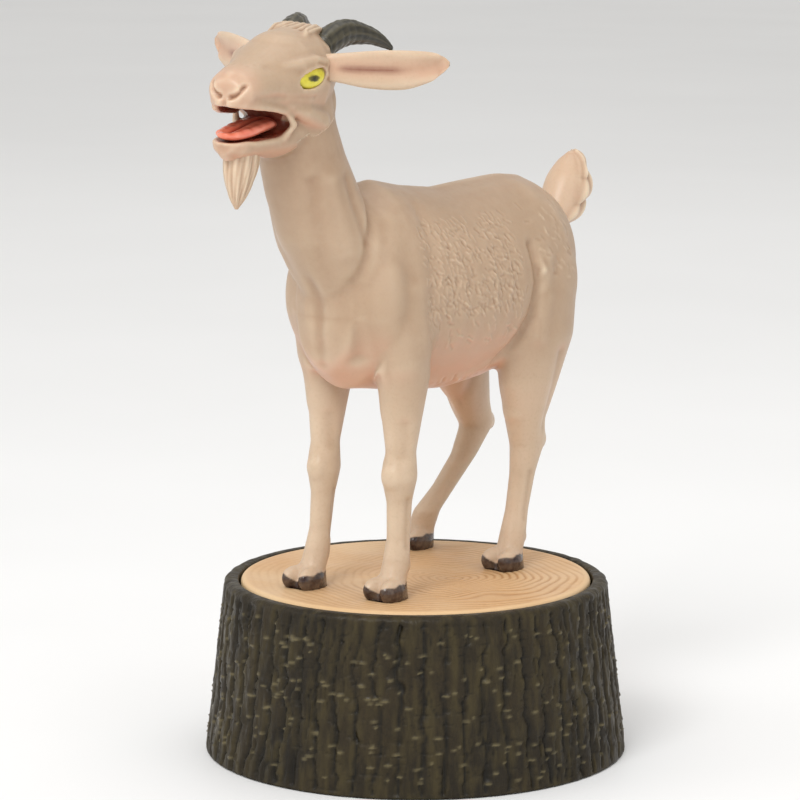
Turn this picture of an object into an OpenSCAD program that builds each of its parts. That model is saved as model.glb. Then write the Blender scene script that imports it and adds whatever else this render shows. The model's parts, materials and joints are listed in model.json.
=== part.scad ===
// Goat figurine on a tree-stump press button that plays a bleat.
// Frame: millimetres, +Z up, origin at the centre of the stump's underside.
// The goat faces -Y, and its left side is +X.

/* [Stump] */
// Diameter of the stump at the table
stump_foot_d = 56; // [54:0.5:60]
// Diameter of the stump at its rim
stump_rim_d = 50.6; // [50.2:0.2:53]
// Height of the stump's rim
stump_h = 23.1; // [22.5:0.1:25]
// Number of furrows round the bark
furrow_count = 30; // [12:1:40]
// Depth of a furrow in the bark
furrow_depth = 0.5; // [0.2:0.05:0.7]

/* [Press top] */
// Diameter of the wood-look disc that is pressed
disc_d = 46.5; // [44:0.1:46.6]
// Height that the disc stands above the rim at rest
disc_proud = 0.2; // [0:0.1:1]
// Travel of the press top
press_travel = 1.5; // [0.8:0.1:1.6]
// Circle on which the guide posts stand
post_circle_d = 36; // [34:0.5:37]
// Radius of a guide post
post_r = 1.5; // [1.2:0.05:1.8]
// Radial running clearance of the sliding parts
slide_gap = 0.08; // [0.03:0.01:0.1]

/* [Electronics] */
// Diameter of a button cell
cell_d = 11.6; // [11.6:0.1:12]
// Thickness of a button cell
cell_t = 5.4; // [5.2:0.1:5.4]
// Number of button cells in the roll
cell_count = 3; // [2:1:3]
// Diameter of the speaker's frame
speaker_d = 20; // [16:0.5:20]

/* [Hidden] */
$fn = 64;
eps = 0.01;

skin = "#cdb294";
horn_black = "#3a352b";
tongue_red = "#c9584a";
bark_brown = "#463d2a";
wood_tan = "#d9ad78";
steel = "#b9bbbf";
brass = "#c9a85a";
base_brown = "#2f2b22";
cell_steel = "#c8c9cc";
lead_red = "#a8322a";
lead_black = "#26262a";
speaker_grey = "#6d6f73";
cone_cream = "#d8d4c6";
board_green = "#2e6b43";
resin_black = "#141414";
capacitor_brown = "#8c6a3a";
chip_black = "#1f1f22";
switch_black = "#1d1d20";
stem_red = "#7a2320";

// Heights of the press top and the deck under it
disc_top_z = stump_h + disc_proud;
disc_t = 2;
disc_under_z = disc_top_z - disc_t;
skirt_t = 1.2;
deck_t = 1.5;
deck_top_z = 17;
deck_under_z = deck_top_z - deck_t;
skirt_end_z = deck_top_z + press_travel + 0.5;
sleeve_end_z = 13;
sleeve_r = 3;
rim_bore_r = disc_d / 2 + 0.35;
post_angles = [60, 180, 300];
plunger_r = 2.2;
plunger_hole_r = 3.4;
guide_pilot_r = 0.62;

// Heights in the base
base_t = 2;
base_plate_r = stump_foot_d / 2 - 2.3;
base_gap = 0.1;
ledge_w = 0.8;
base_screw_circle_r = 21.4;
base_screw_angles = [0, 120, 240];
base_boss_r = 2.4;
base_screw_seat_z = 1;
base_screw_r = 0.8;
base_screw_l = 8.4;
base_screw_head_r = 1.7;

// Battery bay: a box over the roll of cells, open towards the door
door_t = 1.2;
bay_x = 11.4;
bay_wall = 0.8;
bay_in_w = cell_d + 0.4;
bay_in_l = cell_count * cell_t + 3;
bay_roof_z = door_t + cell_d + 0.6;
cell_axis_z = door_t + 0.2 + cell_d / 2;
tab_z = cell_axis_z + 4.4;
tab_t = 0.3;
door_w = bay_in_w + 1.4;
door_y0 = -bay_in_l / 2 - 1;
door_y1 = bay_in_l / 2 + 5.4;
door_screw_y = bay_in_l / 2 + 3.3;
door_screw_seat_z = 0.6;
door_gap = 0.1;

// Speaker and board
speaker_x = -11.5;
speaker_h = 3.2;
board_z = 8.6;
board_t = 1.2;
board_x0 = -13;
board_x1 = 4;
board_half_w = 9;
board_screw_places = [[-10.5, 7], [-10.5, -7], [1.8, 7]];
switch_w = 6;
switch_top_z = board_z + board_t + 3.5;
stem_r = 1.5;
stem_top_z = 16;
lead_r = 0.35;

// ---- Helpers ------------------------------------------------------------------------------------

function unit(v) = v / norm(v);

// One ring of n points round c, square to direction t; a is its half-size sideways, b its half-size across
function ring(c, t, side, a, b, n) =
    let(across = unit(cross(side, t)), level = unit(cross(t, across)))
    [for (i = [0:n - 1]) c + a * cos(360 * i / n) * level + b * sin(360 * i / n) * across];

// Direction of a path at station i
function heading(path, i) =
    unit(path[min(i + 1, len(path) - 1)] - path[max(i - 1, 0)]);

// A closed skin through elliptical stations [x, y, z, half_width, half_depth]
module loft(stations, side = [1, 0, 0], n = 18) {
    path = [for (s = stations) [s[0], s[1], s[2]]];
    m = len(stations);
    points = [for (i = [0:m - 1]) each ring(path[i], heading(path, i), side, stations[i][3], stations[i][4], n)];
    walls = [for (i = [0:m - 2], j = [0:n - 1])
        [i * n + j, i * n + (j + 1) % n, (i + 1) * n + (j + 1) % n, (i + 1) * n + j]];
    first = [for (j = [n - 1:-1:0]) j];
    last = [for (j = [0:n - 1]) (m - 1) * n + j];
    polyhedron(concat(points), concat(walls, [first, last]), convexity = 6);
}

// A round wire or lead of radius r through the points of a path
module wire(path, r, n = 6) {
    loft([for (p = path) [p[0], p[1], p[2], r, r]], side = unit([0.31, 0.27, 0.91]), n = n);
}

// Places children on a circle of radius r at each angle
module at_angles(angles, r) {
    for (a = angles) rotate([0, 0, a]) translate([r, 0, 0]) children();
}

// A pan-head screw that points up, with its head's seat at z = 0
module screw(shank_r, shank_l, head_r, head_t) {
    difference() {
        union() {
            cylinder(r = shank_r, h = shank_l);
            translate([0, 0, -head_t]) cylinder(r = head_r, h = head_t);
        }
        for (a = [0, 90]) rotate([0, 0, a])
            translate([-head_r * 0.6, -0.15, -head_t - eps]) cube([head_r * 1.2, 0.3, head_t * 0.5]);
    }
}

// ---- Goat ---------------------------------------------------------------------------------------

// Stations of each form: x, y, z, half_width, half_depth. A leg runs on past the disc's face and is cut flush
sole_z = disc_top_z - 0.9;
torso_form = [
    [0, -19.8, 61, 1.8, 2.8], [0, -18.6, 61.4, 5.4, 8], [0, -15.2, 62.5, 7.8, 12.2],
    [0, -10, 63.2, 9.2, 13.6], [0, -4, 62.1, 9.6, 13.5], [0, 3, 61.4, 10.2, 13.3], [0, 10, 61.9, 10.2, 13.2],
    [0, 16.5, 63.2, 9.8, 12.2], [0, 21, 63.9, 9.2, 11], [0, 24.4, 63.9, 7.8, 9.4], [0, 26.9, 63.8, 5.8, 7],
    [0, 28.4, 63.6, 3, 4]];
neck_form = [
    [0, -12.5, 63, 7.6, 8.4], [0, -16.8, 70, 6.6, 7.2], [0, -20.5, 76, 5.5, 5.8], [0, -22.4, 81, 4.9, 5.5],
    [0, -23.8, 85, 4.8, 5.3]];
neck_peg_form = [[0, -23.7, 85 - eps, 3, 3.8], [0, -24.8, 88, 2.8, 3.4]];
left_fore_form = [
    [6.2, -9.5, 64, 3.4, 5.6], [6.8, -9.3, 57, 4, 5.6], [7, -9.6, 51, 3.7, 4.6], [7, -10.2, 46, 2.8, 3.2],
    [6.9, -11, 41.5, 2.2, 2.4], [6.9, -11.4, 38.6, 2.3, 2.4], [6.8, -11.4, 35.5, 1.8, 1.9],
    [6.8, -11.6, 31, 1.6, 1.7], [6.8, -12, 27.8, 1.9, 2], [6.8, -12.8, 25.6, 1.9, 2], [6.9, -13.6, sole_z, 2.7, 3]];
right_fore_form = [
    [-6.2, -9.5, 64, 3.4, 5.6], [-6.5, -9.6, 57, 3.8, 5.4], [-6.5, -10, 51, 3.4, 4.2], [-6.5, -10.6, 46, 2.5, 2.9],
    [-6.4, -11.4, 41.5, 2, 2.2], [-6.3, -11.8, 38.4, 2.1, 2.3], [-6.2, -12, 35.3, 1.7, 1.8],
    [-6.1, -12.4, 31, 1.5, 1.6], [-6.1, -13.2, 27.4, 1.8, 1.9], [-6.1, -14, 25.5, 1.8, 1.9],
    [-6.1, -14.8, sole_z, 2.7, 3]];
left_hind_form = [
    [5.4, 18, 66, 3.4, 5.4], [6, 18, 60, 4.2, 7], [6.4, 17.2, 54, 4.1, 6.9], [6.6, 15.8, 48, 3.3, 5.2],
    [6.5, 15.4, 43, 2.5, 3.4], [6.4, 15.6, 39.5, 2.2, 3], [6.3, 14.8, 35.8, 1.8, 2.2], [6.3, 13.4, 31, 1.6, 1.8],
    [6.3, 12.3, 27.6, 1.9, 2], [6.3, 11.6, 25.5, 1.9, 2], [6.3, 11, sole_z, 2.7, 3]];
right_hind_form = [
    [-5.4, 18, 66, 3.4, 5.4], [-6.2, 18.4, 60, 4.2, 6.9], [-7, 18.4, 54, 4.1, 6.6], [-7.6, 18.4, 48, 3.4, 5],
    [-7.6, 20.6, 43, 2.4, 3.4], [-7.8, 22.2, 39.4, 2.1, 2.8], [-8.6, 20.6, 35.8, 1.8, 2.1],
    [-9.8, 17.8, 31.6, 1.6, 1.8], [-10.9, 15.4, 28.4, 1.9, 2.1], [-11.5, 14.8, 25.8, 1.9, 1.9],
    [-11.9, 14.3, sole_z, 2.6, 2.4]];
hoof_places = [[6.9, -13.4], [-6.1, -14.6], [6.3, 11.2], [-11.8, 14.4]];
hoof_peg_r = 1;
hoof_peg_gap = 0.06;
glue_gap = 0.1;

module goat_body() {
    color(skin) union() {
        difference() {
            union() {
                loft(torso_form, n = 28);
                loft(neck_form, n = 22);
                loft(neck_peg_form, n = 16);
                for (leg = [left_fore_form, right_fore_form, left_hind_form, right_hind_form]) loft(leg, n = 16);
            }
            translate([-disc_d / 2, -disc_d / 2, disc_under_z]) cube([disc_d, disc_d, disc_t]);
        }
        for (h = hoof_places) translate([h[0], h[1], disc_under_z]) cylinder(r = hoof_peg_r, h = disc_t + 1);
    }
}

// The head is turned towards the goat's left and tipped, about the point midway between the eyes
head_place = [1, -28.9, 92.6];
head_turn = [0, 5, 10];
skull_form = [
    [0, 10, -0.4, 2.6, 3], [0, 8, -0.8, 4.7, 5.2], [0, 4.5, -1.6, 5.8, 6.4], [0, 0.8, -1.6, 6, 5.9],
    [0, -2.2, -1.7, 5.2, 4.7], [0, -4.8, -1.9, 4.3, 3.7], [0, -7.2, -2.2, 3.7, 3], [0, -9.3, -2.5, 3.2, 2.5],
    [0, -10.5, -2.6, 2.1, 1.6]];
jaw_form = [
    [0, 10.4, -4.6, 3.2, 3.4], [0, 8.8, -5.2, 4.4, 4.8], [0, 6, -6, 4.9, 4.9], [0, 2.6, -7.2, 4.7, 4.4],
    [0, -0.6, -8.6, 4, 2.9], [0, -3.4, -9.1, 3.3, 1.7], [0, -6.2, -9.5, 2.8, 1.2], [0, -8.8, -9.6, 2.3, 1.1],
    [0, -10.2, -9.3, 1.3, 0.7]];
tongue_form = [
    [0, -1.2, -7, 1.9, 0.9], [0, -4, -7.4, 2.2, 0.9], [0, -6.8, -7.9, 2.1, 0.8], [0, -9.2, -8.1, 1.7, 0.6],
    [0, -10.6, -7.8, 0.9, 0.35]];
beard_form = [
    [0.1, -6, -9.9, 2.1, 2.6], [0.2, -6.2, -12, 2, 2.5], [0.4, -6.6, -14.2, 1.5, 1.9], [0.6, -7, -16, 0.8, 1],
    [0.7, -7.2, -17, 0.25, 0.3]];
ear_form = [
    [4.6, 4.6, 0.2, 1.5, 1.1], [6.8, 5.8, 0.3, 1.9, 1], [9.6, 7.8, 0.4, 2.4, 0.9], [13, 10.4, 0.5, 2.5, 0.8],
    [15.8, 12.4, 0.7, 1.9, 0.6], [17.4, 13.5, 0.9, 0.7, 0.35]];
left_ear_lift = 2;
right_ear_lift = -4;
horn_form = [
    [2.9, 6.8, 2.4, 1.6, 1.9], [3.1, 8.8, 3.4, 1.6, 1.8], [3.7, 11.4, 4, 1.4, 1.6], [4.7, 14.2, 3.7, 1.1, 1.2],
    [5.6, 16.6, 2.9, 0.7, 0.8], [6.4, 18.4, 1.8, 0.2, 0.25]];

module on_head() {
    translate(head_place) rotate(head_turn) children();
}

module skull() {
    loft(skull_form, n = 24);
    loft(jaw_form, n = 20);
}

module goat_head() {
    color(skin) difference() {
        on_head() skull();
        loft(neck_form, n = 22);
        neck_socket();
        on_head() {
            loft(tongue_form, n = 14);
            loft(beard_form, n = 14);
            ear(1, left_ear_lift);
            ear(-1, right_ear_lift);
            horn(1);
            horn(-1);
        }
    }
}

// The hollow in the head that the neck's peg is glued into
module neck_socket() {
    loft([for (i = [0:1], s = [neck_peg_form[i]])
        [s[0], s[1], s[2] + (i == 0 ? -0.5 : glue_gap), s[3] + glue_gap, s[4] + glue_gap]], n = 16);
}

// An ear on one side, lifted by some degrees about its root
module ear(side, lift) {
    root = [ear_form[0][0], ear_form[0][1], ear_form[0][2]];
    scale([side, 1, 1]) translate(root) rotate([0, -lift, 0]) translate(-root)
        loft(ear_form, side = [0, 0.25, 1], n = 14);
}

module horn(side) {
    scale([side, 1, 1]) loft(horn_form, n = 16);
}

module left_ear() {
    color(skin) on_head() ear(1, left_ear_lift);
}

module right_ear() {
    color(skin) on_head() ear(-1, right_ear_lift);
}

module left_horn() {
    color(horn_black) on_head() horn(1);
}

module right_horn() {
    color(horn_black) on_head() horn(-1);
}

module tongue() {
    color(tongue_red) on_head() loft(tongue_form, n = 14);
}

module beard() {
    color(skin) on_head() loft(beard_form, n = 14);
}

tail_form = [
    [0, 27.6, 67.8, 1.8, 2], [0, 30.2, 69.4, 2.6, 3], [0, 31.8, 72, 3, 3.4], [0, 32.4, 74.2, 2.7, 3],
    [0, 32.8, 76, 1.8, 2], [0, 33, 77, 0.5, 0.6]];

module tail() {
    color(skin) difference() {
        loft(tail_form, n = 16);
        loft(torso_form, n = 28);
    }
}

// ---- Press top ----------------------------------------------------------------------------------

module press_disc() {
    edge = 0.6;
    r = disc_d / 2;
    rings = [3.5, 6.5, 9.5, 12.5, 15.5, 18.5, 21];
    color(wood_tan) difference() {
        union() {
            rotate_extrude() polygon([[0, disc_under_z], [r - skirt_t, disc_under_z], [r - skirt_t, skirt_end_z],
                [r, skirt_end_z], [r, disc_top_z - edge], [r - edge, disc_top_z], [0, disc_top_z]]);
            at_angles(post_angles, post_circle_d / 2)
                translate([0, 0, sleeve_end_z]) cylinder(r = post_r, h = disc_under_z - sleeve_end_z + eps);
            translate([0, 0, stem_top_z + 0.02]) cylinder(r = plunger_r, h = disc_under_z - stem_top_z);
        }
        at_angles(post_angles, post_circle_d / 2)
            translate([0, 0, sleeve_end_z - eps]) cylinder(r = guide_pilot_r, h = 4.5, $fn = 24);
        for (h = hoof_places) translate([h[0], h[1], disc_under_z - eps])
            cylinder(r = hoof_peg_r + hoof_peg_gap, h = disc_t + 1, $fn = 32);
        for (g = rings) translate([0, 0, disc_top_z]) rotate_extrude()
            polygon([[g - 0.15, 0.1], [g, -0.12], [g + 0.15, 0.1]]);
    }
}

spring_r = 2.3;
spring_wire_r = 0.24;
spring_turns = 4;

// One coil spring, standing on the deck round a guide post
module return_spring() {
    low = deck_top_z + spring_wire_r + 0.03;
    high = disc_under_z - spring_wire_r - 0.03;
    steps = 12 * spring_turns;
    path = [for (i = [0:steps]) let(t = i / steps)
        [spring_r * cos(360 * spring_turns * t), spring_r * sin(360 * spring_turns * t), low + (high - low) * t]];
    loft([for (p = path) [p[0], p[1], p[2], spring_wire_r, spring_wire_r]], side = [0, 0, 1], n = 6);
}

module return_springs() {
    color(steel) at_angles(post_angles, post_circle_d / 2) return_spring();
}

washer_t = 0.5;

module guide_washers() {
    color(steel) at_angles(post_angles, post_circle_d / 2)
        translate([0, 0, sleeve_end_z - washer_t]) difference() {
            cylinder(r = 2.6, h = washer_t - 0.01);
            translate([0, 0, -eps]) cylinder(r = 0.75, h = washer_t + 2 * eps, $fn = 32);
        }
}

module guide_screws() {
    color(steel) at_angles(post_angles, post_circle_d / 2)
        translate([0, 0, sleeve_end_z - washer_t]) screw(0.6, 4.4, 1.6, 1);
}

// ---- Stump --------------------------------------------------------------------------------------

// One furrow in the bark: a thin rod let into the slope at angle a, leaning a little to one side
module furrow(a) {
    rod_r = 0.9;
    slope = atan((stump_foot_d - stump_rim_d) / 2 / stump_h);
    lean = 3 * sin(a * 7);
    rotate([0, 0, a]) translate([stump_foot_d / 2 + rod_r - furrow_depth, 0, -1])
        rotate([lean, -slope, 0]) cylinder(r = rod_r, h = stump_h + 3, $fn = 24);
}

module bark_shell() {
    foot_r = stump_foot_d / 2;
    rim_r = stump_rim_d / 2;
    color(bark_brown) difference() {
        union() {
            rotate_extrude() polygon([[foot_r, 0], [rim_r, stump_h - 0.6], [rim_r - 0.6, stump_h],
                [rim_bore_r, stump_h], [rim_bore_r, deck_top_z], [plunger_hole_r, deck_top_z],
                [plunger_hole_r, deck_under_z], [rim_bore_r, deck_under_z], [base_plate_r - ledge_w, base_t],
                [base_plate_r + base_gap, base_t], [base_plate_r + base_gap, 0]]);
            at_angles(post_angles, post_circle_d / 2)
                translate([0, 0, sleeve_end_z]) cylinder(r = sleeve_r, h = deck_under_z - sleeve_end_z + eps);
            at_angles(base_screw_angles, base_screw_circle_r)
                translate([0, 0, base_t]) cylinder(r = base_boss_r, h = deck_under_z - base_t + eps);
            for (p = board_screw_places) translate([p[0], p[1], board_z + board_t])
                cylinder(r = 1.5, h = deck_under_z - board_z - board_t + eps, $fn = 32);
        }
        for (i = [0:furrow_count - 1]) furrow(360 * (i + 0.3 * sin(97 * i)) / furrow_count);
        at_angles(post_angles, post_circle_d / 2)
            translate([0, 0, sleeve_end_z - 1]) cylinder(r = post_r + slide_gap, h = 6);
        at_angles(base_screw_angles, base_screw_circle_r)
            translate([0, 0, base_t - 1]) cylinder(r = base_screw_r + 0.02, h = base_screw_l + 0.6, $fn = 32);
        for (p = board_screw_places) translate([p[0], p[1], board_z])
            cylinder(r = 0.62, h = 5, $fn = 24);
    }
}

// A perforated patch in front of the speaker: one hole in the middle and two rings of holes
module sound_holes() {
    hole_r = 0.6;
    ring_step = 2.6;
    cylinder(r = hole_r, h = 4 * base_t, center = true, $fn = 20);
    for (k = [1, 2], i = [0:6 * k - 1]) rotate([0, 0, 60 * i / k])
        translate([ring_step * k, 0, 0]) cylinder(r = hole_r, h = 4 * base_t, center = true, $fn = 20);
}

module base_plate() {
    bay_out_w = bay_in_w + 2 * bay_wall;
    bay_out_l = bay_in_l + 2 * bay_wall;
    seat_r = speaker_d / 2 + 0.1;
    color(base_brown) difference() {
        union() {
            cylinder(r = base_plate_r, h = base_t);
            translate([bay_x - bay_out_w / 2, -bay_out_l / 2, door_t])
                cube([bay_out_w, bay_out_l, bay_roof_z + bay_wall - door_t]);
            translate([bay_x, door_screw_y, 0]) cylinder(r = 2, h = 6, $fn = 32);
            translate([speaker_x, 0, 0]) difference() {
                cylinder(r = seat_r + 1, h = base_t + 2);
                translate([0, 0, base_t]) cylinder(r = seat_r, h = 3);
            }
        }
        translate([bay_x - bay_in_w / 2, -bay_in_l / 2, -eps]) cube([bay_in_w, bay_in_l, bay_roof_z]);
        translate([bay_x - door_w / 2 - door_gap, door_y0 - door_gap, -1])
            cube([door_w + 2 * door_gap, door_y1 - door_y0 + 2 * door_gap, door_t + 1]);
        translate([bay_x, door_screw_y, 0]) cylinder(r = 0.72, h = 5.6, $fn = 24);
        for (y = [bay_in_l / 2 - eps, -bay_in_l / 2 - bay_wall - eps])
            translate([bay_x - 1.1, y, tab_z - 0.1]) cube([2.2, bay_wall + 2 * eps, tab_t + 0.2]);
        at_angles(base_screw_angles, base_screw_circle_r) {
            translate([0, 0, -eps]) cylinder(r = 0.95, h = 4, $fn = 32);
            translate([0, 0, -eps]) cylinder(r = base_screw_head_r + 0.1, h = base_screw_seat_z + eps);
        }
        translate([speaker_x, 0, 0]) sound_holes();
    }
}

module base_screws() {
    color(steel) at_angles(base_screw_angles, base_screw_circle_r)
        translate([0, 0, base_screw_seat_z]) screw(base_screw_r, base_screw_l, base_screw_head_r, 0.9);
}

module battery_door() {
    grip_pitch = 0.9;
    color(base_brown) difference() {
        translate([bay_x - door_w / 2, door_y0, 0]) cube([door_w, door_y1 - door_y0, door_t - 0.02]);
        translate([bay_x, door_screw_y, -1]) cylinder(r = 0.85, h = 4, $fn = 32);
        translate([bay_x, door_screw_y, -1]) cylinder(r = 1.6, h = 1 + door_screw_seat_z);
        for (i = [0:4]) translate([bay_x - 3, door_y0 + 2 + i * grip_pitch, -1]) cube([6, 0.4, 1.25]);
    }
}

module battery_door_screw() {
    color(steel) translate([bay_x, door_screw_y, door_screw_seat_z]) screw(0.7, 4.8, 1.5, 0.5);
}

module button_cells() {
    cap_t = 0.4;
    color(cell_steel) for (i = [0:cell_count - 1])
        translate([bay_x, (i - (cell_count - 1) / 2) * cell_t, cell_axis_z]) rotate([90, 0, 0]) {
            cylinder(r = cell_d / 2, h = cell_t - 2 * cap_t, center = true);
            translate([0, 0, (cell_t - cap_t) / 2 - 0.05]) cylinder(r = cell_d / 2 - 1.2, h = cap_t, center = true);
            translate([0, 0, (cap_t - cell_t) / 2 + 0.05]) cylinder(r = cell_d / 2 - 0.6, h = cap_t, center = true);
        }
}

// A battery contact: a plate against the bay's end wall, a dimple on the cell, and a tab through the wall
module contact(side) {
    wall_y = bay_in_l / 2;
    plate_t = 0.28;
    dimple_l = wall_y - cell_count * cell_t / 2 - 0.34;
    scale([1, side, 1]) {
        translate([bay_x - 3.5, wall_y - plate_t - 0.02, cell_axis_z - 4])
            cube([7, plate_t, tab_z + tab_t - cell_axis_z + 4]);
        translate([bay_x, wall_y - plate_t, cell_axis_z]) rotate([90, 0, 0])
            cylinder(r1 = 2.4, r2 = 1, h = dimple_l);
        translate([bay_x - 1, wall_y - plate_t - 0.02, tab_z]) cube([2, bay_wall + 1.3, tab_t]);
    }
}

module positive_contact() {
    color(brass) contact(1);
}

module negative_contact() {
    color(steel) contact(-1);
}

// Where the battery lead at the +Y end runs, from the contact's tab to the board
function battery_lead_path() =
    let(y = bay_in_l / 2 + bay_wall + 0.6, z = tab_z + tab_t + lead_r + 0.02)
    [[bay_x - 0.4, y - 0.2, z], [bay_x - 2, y + 0.1, z + 0.1], [6, y + 0.3, z], [3.4, y, z - 0.4],
        [0.6, 10.6, 11.4], [-1.6, 9.2, 10.6], [-2, 7.4, board_z + board_t + lead_r + 0.05]];

module battery_leads() {
    for (side = [1, -1]) color(side > 0 ? lead_red : lead_black)
        wire([for (p = battery_lead_path()) [p[0], side * p[1], p[2]]], lead_r);
}

// ---- Speaker ------------------------------------------------------------------------------------

module speaker_frame() {
    r = speaker_d / 2;
    color(speaker_grey) translate([speaker_x, 0, base_t]) rotate_extrude() polygon([[r - 1.3, 0.02], [r, 0.02],
        [r, 1], [r - 1, 1.4], [5.6, speaker_h], [0.01, speaker_h], [0.01, speaker_h - 0.5],
        [5.2, speaker_h - 0.5], [r - 1.3, 0.9]]);
}

module speaker_cone() {
    r = speaker_d / 2 - 1.4;
    color(cone_cream) translate([speaker_x, 0, base_t]) rotate_extrude()
        polygon([[0, 1.5], [2.6, 1.9], [3, 2.1], [r, 0.4], [r, 0.15], [3.2, 1.8], [2.8, 1.6], [0, 1.2]]);
}

module speaker_magnet() {
    magnet_r = 4.4;
    magnet_t = 1.6;
    color(steel) translate([speaker_x, 0, base_t + speaker_h + 0.02]) cylinder(r = magnet_r, h = magnet_t);
}

module speaker_leads() {
    z0 = base_t + speaker_h + lead_r + 0.05;
    for (s = [1, -1]) color(s > 0 ? lead_red : lead_black)
        wire([[-6.4, s * 1.2, z0], [-5, s * 2.2, z0 + 0.1], [-3, s * 3, z0 + 0.6], [-0.5, s * 3.4, 7.2],
            [1.6, s * 3.4, 7.8], [3.2, s * 3.4, board_z - lead_r - 0.05]], lead_r);
}

// ---- Board --------------------------------------------------------------------------------------

module circuit_board() {
    color(board_green) difference() {
        translate([board_x0, -board_half_w, board_z]) cube([board_x1 - board_x0, 2 * board_half_w, board_t - 0.02]);
        for (p = board_screw_places) translate([p[0], p[1], board_z - 1]) cylinder(r = 0.8, h = 4, $fn = 32);
    }
}

module sound_chip() {
    chip_x = -7.6;
    dome_r = 4.8;
    color(resin_black) translate([chip_x, 0, board_z + board_t]) intersection() {
        translate([0, 0, 1.2 - dome_r]) sphere(r = dome_r);
        cylinder(r = 4, h = 2);
    }
}

module board_components() {
    color(capacitor_brown) translate([-5.5, 6.2, board_z + board_t]) cylinder(r = 1.5, h = 3.6, $fn = 40);
    color(chip_black) for (i = [0:2]) translate([-9.5 + 2.2 * i, -5.6, board_z + board_t]) cube([0.9, 1.6, 0.5]);
}

module board_screws() {
    color(steel) for (p = board_screw_places) translate([p[0], p[1], board_z - 0.02]) screw(0.6, 4.8, 1.3, 0.8);
}

module switch_body() {
    color(switch_black) translate([0, 0, board_z + board_t]) difference() {
        translate([-switch_w / 2, -switch_w / 2, 0]) cube([switch_w, switch_w, switch_top_z - board_z - board_t]);
        translate([0, 0, 0.4]) cylinder(r = stem_r + slide_gap, h = 6);
    }
}

module switch_stem() {
    color(stem_red) translate([0, 0, 12]) cylinder(r = stem_r, h = stem_top_z - 12);
}

// ---- Nodes --------------------------------------------------------------------------------------

goat_body();
goat_head();
left_ear();
right_ear();
left_horn();
right_horn();
tongue();
beard();
tail();
press_disc();
return_springs();
guide_screws();
guide_washers();
bark_shell();
base_plate();
base_screws();
battery_door();
battery_door_screw();
button_cells();
positive_contact();
negative_contact();
battery_leads();
speaker_frame();
speaker_cone();
speaker_magnet();
speaker_leads();
circuit_board();
sound_chip();
board_components();
board_screws();
switch_body();
switch_stem();
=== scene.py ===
"""Looks of a bleating goat figurine on a tree-stump press button.

Every length in this file is in millimetres, and the helpers turn it into metres.
"""

import json
import logging
import math
from dataclasses import dataclass, field
from enum import Enum

import bpy
import numpy as np
from mathutils import Euler, Matrix, Vector


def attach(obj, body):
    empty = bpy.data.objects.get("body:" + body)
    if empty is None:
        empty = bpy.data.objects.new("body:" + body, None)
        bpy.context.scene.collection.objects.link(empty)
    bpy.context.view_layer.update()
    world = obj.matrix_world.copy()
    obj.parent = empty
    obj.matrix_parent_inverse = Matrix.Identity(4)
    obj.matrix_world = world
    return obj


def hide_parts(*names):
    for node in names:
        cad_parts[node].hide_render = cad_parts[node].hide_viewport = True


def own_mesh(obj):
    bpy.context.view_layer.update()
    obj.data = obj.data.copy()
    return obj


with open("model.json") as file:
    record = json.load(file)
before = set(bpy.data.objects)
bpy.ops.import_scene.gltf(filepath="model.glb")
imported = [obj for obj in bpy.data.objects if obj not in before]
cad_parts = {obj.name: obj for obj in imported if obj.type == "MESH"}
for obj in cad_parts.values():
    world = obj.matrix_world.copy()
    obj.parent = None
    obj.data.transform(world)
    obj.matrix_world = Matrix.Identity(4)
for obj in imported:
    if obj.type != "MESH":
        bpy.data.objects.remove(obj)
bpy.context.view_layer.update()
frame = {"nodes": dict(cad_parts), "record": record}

MM = 0.001
Point = tuple[float, float, float]
Station = tuple[float, float, float, float, float]
Bend = tuple[float, float, float, float]
Piece = bpy.types.Object
Paint = bpy.types.Material
Socket = bpy.types.NodeSocket

log = logging.getLogger("goat")


class Axis(Enum):
    """The axis that a tube's rings stand square to."""

    X = (0.0, math.pi / 2, 0.0)
    Y = (math.pi / 2, 0.0, 0.0)
    Z = (0.0, 0.0, 0.0)


# ---- Modelling helpers ---------------------------------------------------------------------------


def clear_selection() -> None:
    """Leaves edit mode and deselects every object."""
    if bpy.context.object and bpy.context.object.mode != "OBJECT":
        bpy.ops.object.mode_set(mode="OBJECT")
    bpy.ops.object.select_all(action="DESELECT")


def activate(obj: Piece) -> None:
    """Makes one object the only selected and active one."""
    clear_selection()
    obj.select_set(True)
    bpy.context.view_layer.objects.active = obj


def settle(obj: Piece) -> Piece:
    """Puts an object's place and size into its mesh."""
    activate(obj)
    bpy.ops.object.transform_apply(location=True, rotation=True, scale=True)
    return obj


def join(name: str, parts: list[Piece]) -> Piece:
    """Joins several meshes into the first one.

    Args:
        name: The name of the joined piece.
        parts: The meshes, of which the first stays.
    Returns:
        The joined piece.
    """
    activate(parts[0])
    for part in parts[1:]:
        part.select_set(True)
    bpy.ops.object.join()
    parts[0].name = name
    parts[0].data.name = name
    return parts[0]


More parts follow.
